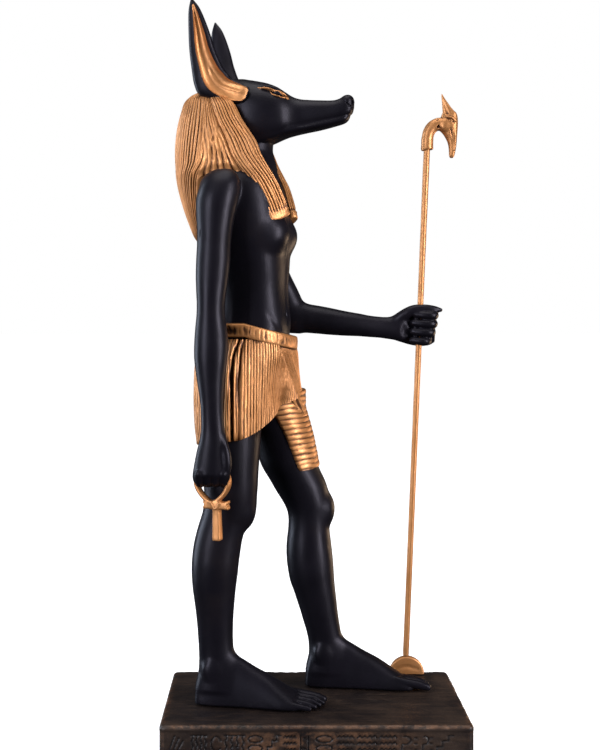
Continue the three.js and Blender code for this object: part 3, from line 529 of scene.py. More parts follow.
def forearm():
    A = flow(LEFT_FOREARM, 80)
    X, Z = oval(32, 2.1)
    return skin(np.stack([np.repeat(A[:, :1], 32, 1), A[:, 1:2] + A[:, 3:4] * X, A[:, 2:3] + A[:, 4:5] * Z], -1))


def foot_at(x, y, yaw):
    c, s = math.cos(yaw), math.sin(yaw)
    return lambda q, l, h: (x + q * c + l * s, y - q * s + l * c, SOLE + h)


def foot(F, x, y, yaw, side, tips):
    """side +1: the big toe is on the +Y side."""
    at = foot_at(x, y, yaw)
    A = flow(FOOT, 60)
    n = 44
    a = np.arange(n) * 2 * math.pi / n
    c, s_ = np.cos(a), np.sin(a)
    k = np.where(s_ > 0, 2.25, 3.4)
    X, Z = np.sign(c) * np.abs(c) ** (2 / k), np.sign(s_) * np.abs(s_) ** (2 / k)
    q = np.repeat(A[:, :1], n, 1)
    l = A[:, 2:3] * X
    h = np.where(Z > 0, 1.0 + (A[:, 1:2] - 1.0) * Z, 1.0 * (1 + Z))
    q = q + np.clip((q - 20) / 24, 0, 1) * (-1.6 + l * side * 0.32)
    px, py, pz = at(q, l, h)
    F.mesh(skin(np.stack([px, py, pz], -1)), 3.0)
    left = 7.1
    for i, w in enumerate((3.6, 2.65, 2.6, 2.55, 2.5)):
        lc = (left - w / 2) * side
        tip = tips[i]
        r = w / 2 * (0.98 if i else 0.96)
        top = (5.1, 5.0, 4.7, 4.35, 3.9)[i]
        pts = [at(tip - 15, lc * 0.93, top - r + 0.9), at(tip - 9, lc * 0.98, top - 0.3 - r), at(tip - 4.2, lc, top - 1.15 - r * 0.96), at(tip - r * 0.95, lc, r * 0.92)]
        F.pipe(pts, [r * 0.94, r, r * 0.96, r * 0.84], 0.28, steps=12)
        F.blob(at(tip - r * 1.15, lc, r * 1.95), (r * 0.85, r * 0.60, 0.30), 0.2, True, yaw=-yaw, pitch=-0.42)
        left -= w
    # ankle bones
    F.blob(at(-0.5, 4.7, 15.8), (2.8, 1.3, 3.0), 2.6)
    F.blob(at(-1.2, -4.7, 14.4), (2.8, 1.3, 3.0), 2.6)


def wrist_to_fist(F):
    """Right hand closed round the loop of the cross."""
    F.pipe([(-36.4, -27.6, 133), (-34.9, -28.9, 127.5), (-34.3, -29.2, 122.5), (-34.9, -28.3, 117.2)], [1.6, 2.0, 1.9, 1.5], 1.0, steps=9)
    # knuckles turn under
    F.half((-40, -31.2, 118.4), (0, -0.62, -0.78), (-52, -36, 108), (-28, -25.6, 122), 0.6)
    for i in range(4):
        x = -44.9 + i * 3.05
        F.pipe([(x, -29.6, 119.2), (x + 0.1, -27.3, 115.8), (x + 0.2, -23.6, 114.9), (x + 0.2, -21.3, 117.2), (x + 0.1, -21.6, 120.2)], [1.75, 1.75, 1.65, 1.55, 1.3], 0.45, steps=12)
    F.blob((-39.6, -24.4, 113.0), (4.6, 1.5, 1.8), 0.5, True)


FINGERS = [[180.2, 55.5, 43.6, 1.98], [176.5, 55.1, 42.6, 2.02], [172.8, 54.2, 42.3, 2.0], [169.0, 52.4, 42.2, 1.88]]


def staff_fist(F):
    """Left hand closed round the staff, palm towards -Y."""
    for z, xk, xt, r in FINGERS:
        pts = [(xk - 4.6, 31.4, z + 0.5), (xk - 2.0, 30.4, z + 0.3), (xk - r, 27.4, z + 0.1), (xk - 3.0, 24.9, z), ((xk + xt) / 2, 24.6, z + 0.05), (xt + r * 0.9, 25.7, z + 0.5)]
        F.pipe(pts, [r * 0.95, r, r, r * 0.98, r * 0.9, r * 0.78], 0.35, steps=18)
    F.pipe([(36.6, 28.2, 177.6), (40.5, 27.2, 180.4), (44.5, 26.4, 182.6), (49, 26.2, 183.3), (53.2, 26.4, 183.0), (56.2, 26.8, 182.6)], [2.4, 2.5, 2.2, 1.75, 1.5, 0.9], 0.7, steps=18)
    for x in (45.2, 48.4, 51.4):
        F.pipe([(x + 0.4, 25.9, 180.6), (x - 0.3, 25.9, 168.8)], [0.95, 0.95], 0.5)
    F.blob((40.7, 24.3, 172.6), (1.9, 2.2, 4.4), 1.0, True)


def build_body():
    F = Field((-60, -37, 22.5), (60.5, 38.5, 281), 0.45)
    F.mesh(limb(RIGHT_LEG, 40, 90), 0.5)
    F.mesh(limb(LEFT_LEG, 40, 90), 0.5)
    # kneecaps, shins
    F.blob((-27.6, -8.8, 100.5), (3.4, 4.6, 5.2), 4.0)
    F.blob((6.0, 13.5, 98.5), (3.2, 4.6, 5.2), 4.0)
    F.mesh(limb(TRUNK, 56, 90, BODY_YAW, 2.45), 2.0)
    F.mesh(limb(NECK, 32, 20, BODY_YAW), 2.5)
    # chest muscles, breastbone groove, navel, groin lines
    for s in (-1, 1):
        F.blob(body((13.3, s * 8.0, 212.6)), (9.9, 8.8, 9.3), 2.2, yaw=BODY_YAW)
    F.pipe([body((24.4, 0, 224)), body((24.4, 0, 212)), body((22.2, 0, 202)), body((21.6, 0, 190)), body((22.0, 0, 183)), body((22.6, 0, 178))], [2.6, 3.0, 2.5, 2.4, 2.3, 1.8], 1.4, True, steps=14)
    F.blob(body((20.2, 0.2, 180.4)), (1.5, 0.85, 1.25), 0.4, True)
    for s in (-1, 1):
        F.pipe([body((16.0, s * 12.3, 180.5)), body((18.9, s * 9.4, 176.0)), body((21.0, s * 5.6, 171.5))], [0.35, 0.45, 0.35], 1.6, True, steps=6)
    # arms
    F.mesh(limb(RIGHT_ARM, 32, 110), 2.2)
    F.mesh(limb(LEFT_UPPER_ARM, 32, 60), 2.2)
    F.mesh(forearm(), 1.6)
    # shoulder tops run into the neck
    for s in (-1, 1):
        F.pipe([body((-3.0, s * 8, 238.5)), body((-4.0, s * 16, 233.0)), body((-5.0, s * 22.0, 230.5))], [5.4, 4.8, 4.2], 4.0, steps=7)
    wrist_to_fist(F)
    staff_fist(F)
    foot(F, -39.5, -8, 7.6 * D2R, 1, (44.6, 44.1, 43.0, 41.4, 39.4))
    foot(F, 5.4, 14.2, 4.4 * D2R, -1, (44.4, 44.3, 43.8, 43.0, 41.8))
    # headcloth core, hidden under the strands
    F.mesh(cloth_core(), 0.6)
    # the staff's way through the fist
    a, b = rod_at(150), rod_at(200)
    F.pipe([a, b], [ROD_R + 0.2, ROD_R + 0.2], 0.05, True)
    return F


def build_head():
    F = Field((-51, -26, 241.5), (20.5, 19, 280.5), 0.28, 3.0)
    F.mesh(snout(HEAD), 0.5)
    F.mesh(snout(JAW, 40, 80, 2.6, 2.6), 0.5)
    # bulb of the nose
    F.blob(body((45.3, 0, 266.0)), (2.4, 3.4, 2.3), 1.2, yaw=BODY_YAW)
    for s in (-1, 1):
        # mouth slit, nostril curve and pit
        F.pipe([body((24.8, s * 6.05, 255.9)), body((27.5, s * 5.45, 256.2)), body((31, s * 5.0, 256.8)), body((36, s * 4.65, 257.8)), body((41, s * 4.2, 258.8)), body((44.4, s * 3.6, 259.6)), body((46.2, s * 2.5, 260.2)), body((47.1, s * 0.6, 260.5))],
               [0.62, 0.74, 0.64, 0.56, 0.52, 0.50, 0.46, 0.42], 0.22, True, steps=24)
        F.pipe([body((43.9, s * 4.15, 267.0)), body((45.0, s * 3.9, 264.9)), body((46.4, s * 3.1, 263.6)), body((47.4, s * 1.7, 263.3))], [0.18, 0.34, 0.34, 0.2], 0.3, True, steps=10)
        F.blob(body((47.3, s * 1.6, 265.2)), (1.0, 0.75, 0.8), 0.3, True, yaw=BODY_YAW)
        # eye socket, eyeball, upper lid and brow
        F.blob(body((18.9, s * 9.6, 268.6)), (3.9, 1.6, 1.5), 0.9, True, yaw=BODY_YAW + s * 0.30, pitch=-0.32)
        F.blob(body((18.4, s * 8.5, 268.5)), (2.1, 1.35, 1.05), 0.25, yaw=BODY_YAW + s * 0.30, pitch=-0.30)
        F.pipe([body((12.5, s * 9.5, 271.3)), body((16.0, s * 9.0, 270.9)), body((19.0, s * 7.9, 269.9)), body((21.8, s * 6.9, 268.0))], [0.5, 0.75, 0.7, 0.4], 0.9, steps=9)
        # root of the ear
        F.pipe([body((-11, s * 8.0, 267.0)), body((-4, s * 8.2, 268.8)), body((3, s * 8.0, 268.3))], [3.0, 2.9, 2.0], 2.5, steps=6)
    return F


def rod_at(z):
    t = (z - 31) / (HAND_Z - 31)
    return (ROD_FOOT[0] + (ROD_HAND[0] - ROD_FOOT[0]) * t, ROD_FOOT[1] + (ROD_HAND[1] - ROD_FOOT[1]) * t, z)


# ------------------------------------------------------------------ headcloth
# z, x, half length, half width of the mass on the nape
CLOTH = [[209.3, -12.2, 2.2, 8.2], [210.2, -12.3, 3.6, 11.5], [212, -12.7, 4.4, 13.3], [215, -13.4, 5, 14.2], [222, -14.4, 6.7, 15.5], [230, -14.7, 8.8, 17], [236, -14, 10.6, 18.4], [240, -11.9, 13.1, 19], [244, -11.1, 14.2, 18.9],
         [250, -10.5, 14.8, 18.2], [257, -10, 14.5, 17], [263, -10, 13, 15.4], [267, -10.5, 11.2, 13.4], [269.5, -10.5, 8.6, 11], [270.8, -10.5, 5.2, 7.6], [271.2, -10.5, 2.6, 4]]
# lappet: z, x, distance from the middle, half width, half thickness, turn
LAPPET = [[268, -5.5, 11, 3.2, 2, 0], [264.6, -2.9, 13.6, 4.2, 2.8, 2], [257.4, 0.5, 15.4, 4.9, 3.2, 5], [249.2, 5.2, 16.3, 5.7, 3.3, 9], [243.3, 7.6, 16.4, 5.8, 3.3, 13], [238.3, 10.4, 15.8, 5.8, 3.2, 19],
          [233.7, 13.3, 14.6, 5.7, 3, 27], [228, 15.9, 13, 5.6, 2.7, 35], [222.9, 17.8, 11.6, 5.5, 2.4, 41], [218.2, 19.1, 10.7, 5.3, 2.2, 45]]
PER = 6          # mesh columns to a strand
BACK_STRANDS, SIDE_STRANDS, LAPPET_STRANDS = 38, 7, 8


def cloth_core():
    rows = [[z, x, 0, max(rx - 1.1, 0.8), max(ry - 1.1, 0.8)] for z, x, rx, ry in CLOTH if 210 < z < 271]
    A = flow(rows, 50)
    X, Y = oval(48, 2.2)
    return skin(body(np.stack([A[:, 1:2] + A[:, 3:4] * X, A[:, 2:3] + A[:, 4:5] * Y, np.repeat(A[:, :1], 48, 1)], -1)))


def lappet(side):
    """One hanging end of the headcloth, stranded all round, with a cuff at its foot."""
    strands, m = 22, 58
    n = strands * 5
    e = 2.9
    A = flow(LAPPET, 60)
    a = np.arange(2000) * 2 * math.pi / 2000
    cx, sx = np.cos(a), np.sin(a)
    U, W = np.sign(cx) * np.abs(cx) ** (2 / e), np.sign(sx) * np.abs(sx) ** (2 / e)
    # strands evenly spaced round the section at half height
    d = np.hypot(np.diff(np.append(U, U[0])) * 5.7, np.diff(np.append(W, W[0])) * 3.1)
    arc = np.concatenate([[0], np.cumsum(d)])
    at = np.interp(np.arange(n) / n * arc[-1], arc, np.arange(2001))
    U, W = np.interp(at, np.arange(2001), np.append(U, U[0])), np.interp(at, np.arange(2001), np.append(W, W[0]))
    v = np.linspace(0, 1, m)[:, None]
    bottom = 217.6 + 3.0 * ((U + 1) / 2) ** 2.0
    z = 268.0 + (bottom[None] - 268.0) * v
    L = flow(LAPPET, at=z.ravel()).reshape(m, n, -1)
    x, dist, w, t, turn = (L[..., k] for k in range(1, 6))
    c, s = np.cos(turn * D2R), np.sin(turn * D2R)
    w = w + 0.25
    X = x + U * w * c + W * t * s
    D = dist - U * w * s + W * t * c
    P = np.stack([X, -D, z], -1)
    N = normals_of(P, True)
    mid = P[m // 2].mean(0)
    if (N[m // 2, 0] @ (P[m // 2, 0] - mid)) < 0:
        N = -N
    S = np.arange(n) / 5
    low, shade_wash = ridge(np.repeat(S[None], m, 0), 17, np.repeat(v, n, 1))
    across = np.linalg.norm(np.diff(P, axis=1), axis=-1).mean(1) * 5
    off = -low * np.minimum(0.50, 0.38 * across)[:, None]
    up = z - bottom[None]
    band = smooth((2.9 - up) / 0.3)
    groove = np.exp(-((up - 3.1) / 0.4) ** 2)
    rim = np.exp(-((up - 2.35) / 0.35) ** 2) + np.exp(-((up - 0.45) / 0.4) ** 2)
    off = off * (1 - band * 0.9) + band * 0.12 + 0.22 * rim - 0.35 * groove
    # darker in the strand grooves, the groove above the cuff and the hollow between its rims: painted shade, with the
    # antique wash
    shade_wash = np.clip(shade_wash * (1 - 0.8 * band) + 0.85 * groove + 0.35 * np.exp(-((up - 1.4) / 0.5) ** 2), 0, 1)
    P = P + N * off[..., None]
    end = P[-1].copy()
    inset = end + (end.mean(0) - end) * 0.10
    inset[:, 2] -= 0.30
    P = np.concatenate([P, inset[None]])
    shade_wash = np.concatenate([shade_wash, np.full((1, n), 0.3)])
    if side > 0:
        P = mirror(P)
    return skin(body(P)), np.concatenate([shade_wash.ravel(), [0, 0.5]])


def ridge(s, rng_key, v, depth=1.0):
    """Strand profile: s counts strands across (whole numbers are grooves), v runs 0..1 along them.
    Returns how far below the crest the surface lies, and how deep in the groove, both 0..1."""
    rng = np.random.default_rng(rng_key)
    n = int(np.ceil(s.max())) + 2
    lift = np.stack([wave(64, 5, rng, 0.10) for _ in range(n)])
    wob = np.stack([wave(64, 6, rng, 0.07) for _ in range(n + 1)])
    cut = np.clip(1.0 + np.stack([wave(64, 5, rng, 0.22) for _ in range(n + 1)]), 0.35, 1.3)
    vi = np.clip(v * 63, 0, 62.999)
    i0 = vi.astype(int)
    fr = vi - i0

    def look(table, k):
        k = np.clip(k, 0, len(table) - 1)
        return table[k, i0] * (1 - fr) + table[k, i0 + 1] * fr

    k = np.floor(s).astype(int)
    a = k + look(wob, k)
    b = k + 1 + look(wob, k + 1)
    f = np.clip((s - a) / np.maximum(b - a, 0.2), 0, 1)
    hump = np.sin(math.pi * f) ** 0.62
    side = np.where(f < 0.5, look(cut, k), look(cut, k + 1))
    low = (1 - hump) * side
    return depth * low - look(lift, k) * hump, np.clip((1 - hump) * 1.25 - 0.12, 0, 1) * np.clip(side, 0, 1)


def normals_of(P, wrap=False):
    du = np.roll(P, -1, 1) - np.roll(P, 1, 1) if wrap else np.gradient(P, axis=1)
    dv = np.gradient(P, axis=0)
    n = np.cross(du, dv)
    L = np.linalg.norm(n, axis=-1, keepdims=True)
    return n / np.maximum(L, 1e-9)


def cloth_back():
    """The mass on the nape, strands all round its back and sides."""
    m = 84
    A = flow(CLOTH, at=np.concatenate([np.linspace(209.3, 212, 8), np.linspace(212, 266, 62)[1:], np.linspace(266, 271.2, 16)[1:]]))
    m = len(A)
    reach = 200 * D2R
    a_back = math.pi - reach / 2 + reach * np.arange(BACK_STRANDS * PER + 1) / (BACK_STRANDS * PER)
    a_front = (math.pi + reach / 2) + (2 * math.pi - reach) * np.arange(1, 30) / 30
    a = np.concatenate([a_back, a_front])
    c, s = np.cos(a), np.sin(a)
    e = 2.2
    X, Y = np.sign(c) * np.abs(c) ** (2 / e), np.sign(s) * np.abs(s) ** (2 / e)
    P = np.stack([A[:, 1:2] + A[:, 2:3] * X, A[:, 3:4] * Y, np.repeat(A[:, :1], len(a), 1)], -1)
    nb = len(a_back)
    S = np.concatenate([np.arange(nb) / PER, np.full(len(a_front), 0.5)])
    v = np.linspace(0, 1, m)
    low, shade_wash = ridge(np.repeat(S[None], m, 0), 5, np.repeat(v[:, None], len(a), 1))
    pitch = reach / BACK_STRANDS * (A[:, 2] + A[:, 3]) / 2
    amp = np.minimum(0.52, 0.38 * pitch)[:, None]
    on = np.concatenate([np.ones(nb), np.zeros(len(a_front))])[None]
    N = normals_of(P, True)
    if (N[m // 2, 0] @ (P[m // 2, 0] - P[m // 2].mean(0))) < 0:
        N = -N
    # strands swell and sink a little in broad locks
    lock = 0.22 * np.sin(S * 0.9)[None] * np.sin(3.0 * v)[:, None]
    P = P + N * ((-low * amp + lock * 0.6) * on)[..., None]
    mesh = skin(body(P))
    # darker in the grooves between strands: painted shade, with the antique wash
    hollow_shade_wash = np.concatenate([(shade_wash * on).ravel(), [0, 0]])
    return mesh, hollow_shade_wash


def side_section(z, cols, rng_key, drop=0.0):
    """Points across the cloth from the widest place of the nape to the lappet's front edge, at heights z (m, n)
    and strand numbers cols (n,), measured from the nape. Near side (y negative)."""
    m, n = z.shape
    C = flow(CLOTH, at=z.ravel()).reshape(m, n, -1)
    L = flow(LAPPET, at=z.ravel()).reshape(m, n, -1)
    cx, ry = C[..., 1], C[..., 3]
    x, d, w, t, turn = (L[..., k] for k in range(1, 6))
    c, s = np.cos(turn * D2R), np.sin(turn * D2R)
    q = cols[None, :] / SIDE_STRANDS                     # 0 at the nape, 1 at the lappet's rear edge
    r = (cols[None, :] - SIDE_STRANDS) / LAPPET_STRANDS   # 0..1 over the lappet
    # lappet surface: outer face of its section, slightly crowned
    u = 2 * r - 1
    crown = t * (1 - 0.55 * np.abs(u) ** 3.2)
    lx = x + u * w * c - (-crown) * s * -1
    lx = x + u * w * c + crown * s
    ly = d - u * w * s + crown * c
    # the stretch between
    u0 = -np.ones_like(u)
    rx_, rd_ = x - w * c + 0.45 * t * s, d + w * s + 0.45 * t * c
    sx, sd = cx - 1.5, ry - 0.25
    mx = sx + (rx_ - sx) * q
    md = sd + (rd_ - sd) * smooth(q) + 0.55 * np.sin(math.pi * np.clip(q, 0, 1))
    on_lappet = (r >= 0)
    X = np.where(on_lappet, lx, mx)
    D = np.where(on_lappet, ly, md)
    return np.stack([X, -D, z], -1)


def arch_z(q):
    """Lower edge of the cloth over the shoulder, q 0..1 from the nape to the lappet."""
    return np.interp(q, [0, 0.08, 0.22, 0.36, 0.56, 0.75, 1.0, 1.3], [231.2, 233, 235.0, 236.2, 237.2, 237.2, 236.0, 234])


def cloth_over():
    """The stretch of cloth that hangs over the near shoulder, between the nape and the lappet."""
    cols = np.arange(0, (SIDE_STRANDS + 0.8) * PER + 1) / PER
    bottom = arch_z(cols / SIDE_STRANDS)
    rows, top = 44, 269.2
    v = np.linspace(0, 1, rows)[:, None]
    z = top + (bottom[None] - top) * v
    P = side_section(z, cols, 0)
    N = normals_of(P)
    if N[rows // 2, len(cols) // 2][1] > 0:
        N = -N
    rng = np.random.default_rng(41)
    bend = np.stack([wave(rows, 5, rng, 0.25)] * len(cols), 1) * np.sin(math.pi * cols / SIDE_STRANDS)[None]
    low, shade_wash = ridge(np.clip(np.repeat(cols[None], rows, 0) + bend, 0, None), 29, np.repeat(v, len(cols), 1))
    across = np.linalg.norm(np.diff(P, axis=1), axis=-1).mean(1) * PER
    amp = np.minimum(0.52, 0.38 * across)[:, None] * np.ones((1, len(cols)))
    # rubbed, lumpy patch behind the shoulder
    rub = np.exp(-(((P[..., 0] + 4.5) / 3.8) ** 2 + ((P[..., 2] - 251.0) / 7.0) ** 2))
    amp = amp * (1 - 0.75 * rub)
    shade_wash = shade_wash * (1 - 0.8 * rub)
    lump = np.zeros_like(rub)
    for _ in range(26):
        cx, cz, r = rng.uniform(-9, 1), rng.uniform(239, 256), rng.uniform(0.5, 1.3)
        tilt = rng.uniform(-0.4, 0.2)
        dx, dz = P[..., 0] - cx, P[..., 2] - cz
        lump += rng.choice([-1, 1]) * rng.uniform(0.12, 0.30) * np.exp(-((dx + tilt * dz) / (0.45 * r)) ** 2 - (dz / (1.7 * r)) ** 2)
    fall = -low * amp + lump
    # darker in the strand grooves and in the sunk lumps: painted shade, with the antique wash
    shade_wash = np.clip(shade_wash + np.clip(-lump, 0, 1) * 1.6, 0, 1)
    outer = P + N * fall[..., None]
    inner = P - N * 2.4
    edge = smooth((v * rows - (rows - 4.0)) / 3.5)
    outer = outer - N * (edge * 0.5)[..., None]
    return outer, inner, np.concatenate([shade_wash.ravel(), np.full(shade_wash.size, 0.5)])


# ------------------------------------------------------------------ ears
# by station: rear or lower edge x, z; front edge x, z; distance from the middle, half thickness; gilded stretch from, to
EAR = [[0, -14.7, 305.6, -14.1, 305.7, 18.2, 0.25, 0.0, 0.02], [1, -15.75, 301.0, -10.9, 301.3, 17.7, 1.25, -0.20, 0.42], [2, -16.04, 293.5, -7.6, 293.0, 16.7, 2.0, -0.36, 0.57], [3, -16.04, 285.8, -5.4, 285.6, 15.4, 2.4, -0.42, 0.62],
       [4, -15.5, 278.4, -2.8, 279.2, 13.9, 2.7, -0.40, 0.72], [5, -14.7, 272.4, -1.0, 276.6, 12.9, 2.8, -0.38, 0.80], [6, -12.6, 268.2, 0.3, 274.9, 12.3, 2.6, -0.36, 0.84], [7, -6.8, 265.9, 1.6, 273.8, 12.0, 2.3, -0.55, 0.87],
       [8, -1.8, 264.9, 4.0, 272.6, 11.9, 2.1, -0.72, 0.88], [9, 2.4, 264.7, 6.0, 271.6, 11.9, 1.8, -0.80, 0.88], [10, 4.9, 264.9, 7.3, 270.9, 11.9, 1.35, -0.78, 0.82], [11, 6.3, 265.9, 7.8, 270.1, 11.9, 0.7, -0.5, 0.5]]


def ear(side):
    m = 72
    A = flow(EAR, m)
    st = A[:, 0:1]
    a, b = A[:, [1, 2]], A[:, [3, 4]]
    dist, thick = A[:, 5:6], np.maximum(A[:, 6:7], 0.15)
    g0, g1 = A[:, 7:8], A[:, 8:9]
    nr, ng, nf, nb = 7, 20, 5, 18
    rear = np.linspace(0, 1, nr + 1)[None]
    U = np.concatenate([-1 + (g0 + 1) * rear, g0 + (g1 - g0) * np.linspace(0, 1, ng + 1)[None, 1:], g1 + (1 - g1) * np.linspace(0, 1, nf + 1)[None, 1:]], 1)
    e = np.sqrt(np.clip(1 - U * U, 0, 1))
    w = np.clip((U - (g0 + g1) / 2) / np.maximum((g1 - g0) / 2, 1e-3), -1, 1)
    open_ = smooth((st - 0.4) / 1.2) * smooth((11.2 - st) / 1.5)
    hollow = (1 - w * w) ** 0.7 * (0.95 - 0.35 * smooth((st - 6.5) / 2.5)) * open_
    # fold that runs along the floor of the hollow near its base
    fold = 0.20 * np.exp(-((w + 0.05 - 0.25 * smooth((st - 5) / 3)) / 0.16) ** 2) * smooth((st - 3.6) / 1.2) * smooth((10.2 - st) / 1.5)
    lip = 0.10 * np.exp(-((w - 1) / 0.10) ** 2) + 0.10 * np.exp(-((w + 1) / 0.10) ** 2)
    Vo = e - hollow + fold + lip * open_
    ang = np.linspace(0, math.pi, nb + 1)[None, 1:-1]
    Ub = np.cos(ang) * np.ones((m, 1))
    Vb = -np.sin(ang) * np.ones((m, 1))
    UU, VV = np.concatenate([U, Ub], 1), np.concatenate([Vo, Vb], 1)
    C, H = (a + b) / 2, (b - a) / 2
    P = np.stack([C[:, :1] + UU * H[:, :1], side * (dist + VV * thick), C[:, 1:] + UU * H[:, 1:]], -1)
    V, Q, T = skin(body(P))
    n = UU.shape[1]
    k = np.tile(np.arange(n), m - 1)
    gold = (k >= nr) & (k < nr + ng)
    row = np.repeat(np.arange(m - 1), n)
    gold &= (row > 3) & (row < m - 3)
    faces = np.concatenate([gold.astype(int), np.zeros(len(T), int)])
    # gold hollow darker in its deep floor, along its rims and its fold: painted shade
    deep = (1 - w * w) ** 1.5 * 0.12 * open_
    seam = 0.6 * np.exp(-((np.abs(w) - 1.0) / 0.06) ** 2) + 0.25 * np.exp(-((w + 0.32 - 0.25 * smooth((st - 5) / 3)) / 0.12) ** 2) * smooth((st - 3.6) / 1.2)
    shade_wash = np.zeros(P.shape[:2])
    shade_wash[:, nr:nr + ng + 1] = np.clip(deep + seam, 0, 1)[:, nr:nr + ng + 1] * 0.8
    return (V, Q, T), faces, np.concatenate([shade_wash.ravel(), [0, 0]])


# ------------------------------------------------------------------ kilt, belt, tab
KILT = [[171, -27.6, -2, 18, 15.5, -26.4, 4, 18.3, 15.5], [165, -29, -4, 18.4, 15.7, -24.8, 6, 18.6, 15.7], [158, -31, -5.5, 17.4, 15.2, -22.8, 8, 17.2, 15.2], [150, -32.5, -7, 16.1, 14.5, -20.3, 9.5, 15.7, 14.6],
        [143, -33.3, -8, 15.2, 13.9, -17.8, 11, 14.6, 14.1], [136, -33.8, -8.5, 14.3, 13.4, -15.3, 12.3, 14.2, 13.9], [129, -33.9, -8.7, 13.4, 12.9, -12.8, 13, 14, 13.6], [120, -33.9, -8.7, 12.6, 12.4, -10, 13, 13.8, 13.2]]
HEM = [[-180, 128], [-150, 128.5], [-120, 130], [-109, 130.9], [-100, 131.3], [-90, 132.8], [-78, 134.8], [-61, 138], [-50, 139.9], [-38, 141.8], [-20, 143], [10, 142], [50, 136], [90, 131], [130, 128.5], [180, 128]]
KILT_C = (-25.5, 2.0)
KILT_TOP = 170.6
STEP = [[142, 6.0], [146.5, -0.2], [153.7, -13.0], [159.6, -30.5], [165, -50.3], [168.2, -53.2], [171, -56]]
FOLD_1 = [[128, -107.3], [147, -107.5], [156.7, -108.5], [164.5, -107], [168.4, -104], [171, -102]]
FOLD_2 = [[128, -101.8], [147, -101.5], [152.8, -102.2], [160.6, -101.2], [168.4, -98.8], [171, -97.6]]


def hull_reach(row, C, phi):
    p = np.arange(240) * 2 * math.pi / 240
    nx, ny, na, nb, fx, fy, fa, fb = row
    h = np.maximum((nx - C[0]) * np.cos(p) + (ny - C[1]) * np.sin(p) + np.hypot(na * np.cos(p), nb * np.sin(p)),
                   (fx - C[0]) * np.cos(p) + (fy - C[1]) * np.sin(p) + np.hypot(fa * np.cos(p), fb * np.sin(p)))
    d = np.cos(phi[:, None] - p[None])
    r = np.where(d > 0.05, h[None] / np.maximum(d, 0.05), 1e9)
    return r.min(1)


def lookup(table, z):
    T = np.array(sorted(table), float)
    return np.interp(z, T[:, 0], T[:, 1])


FINE_KILT = flow(KILT, 60)
_phi = np.arange(720) * math.pi / 360 - math.pi
_reach = np.array([hull_reach(r[1:], KILT_C, _phi) for r in FINE_KILT])
_k = np.hanning(29) / np.hanning(29).sum()
_reach = np.array([np.convolve(np.concatenate([r[-14:], r, r[:14]]), _k, "valid") for r in _reach])


def kilt_radius(deg, z):
    """Distance of the cloth from the kilt's axis."""
    u = np.mod((deg + 180) * 2, 720)
    i = np.floor(u).astype(int) % 720
    fu = u - np.floor(u)
    w = np.clip(np.interp(z, FINE_KILT[:, 0], np.arange(len(FINE_KILT))), 0, len(FINE_KILT) - 1.0001)
    j = w.astype(int)
    fw = w - j
    i2 = (i + 1) % 720
    r = (_reach[j, i] * (1 - fu) + _reach[j, i2] * fu) * (1 - fw) + (_reach[j + 1, i] * (1 - fu) + _reach[j + 1, i2] * fu) * fw
    # the cloth sinks towards the far thigh above the tab
    return r - 2.6 * np.exp(-((deg + 27) / 15.0) ** 2) * smooth((153 - z) / 11)


def kilt_point(deg, z, r):
    return np.stack([KILT_C[0] + r * np.cos(deg * D2R), KILT_C[1] + r * np.sin(deg * D2R), z], -1)


PLEAT = 360 / 108
UNDER_HEM = [[-180, 128], [-150, 128.5], [-120, 130], [-109, 130.9], [-100, 131.3], [-95, 132.2], [-85, 134.4], [-61, 139.2], [-38, 142.8], [-20, 145.0], [-6, 146.6], [0, 146.2], [3.5, 143.2], [9, 139.2], [14, 138.7], [25, 138.2], [50, 135.8], [90, 131], [130, 128.5], [180, 128]]
NEAR_HEM = [[-98, 131.4], [-90, 132.8], [-78, 134.8], [-61, 138], [-50, 139.9], [-38, 142.0], [-29, 143.3], [-20, 144.2], [-11, 145.0], [0, 146.0]]
STEP_DOWN = [[-53.2, 170.7], [-52.6, 167.6], [-50.3, 165.2], [-41, 162.6], [-30.5, 159.6], [-13, 153.7], [-0.2, 147.2], [1, 146.5]]


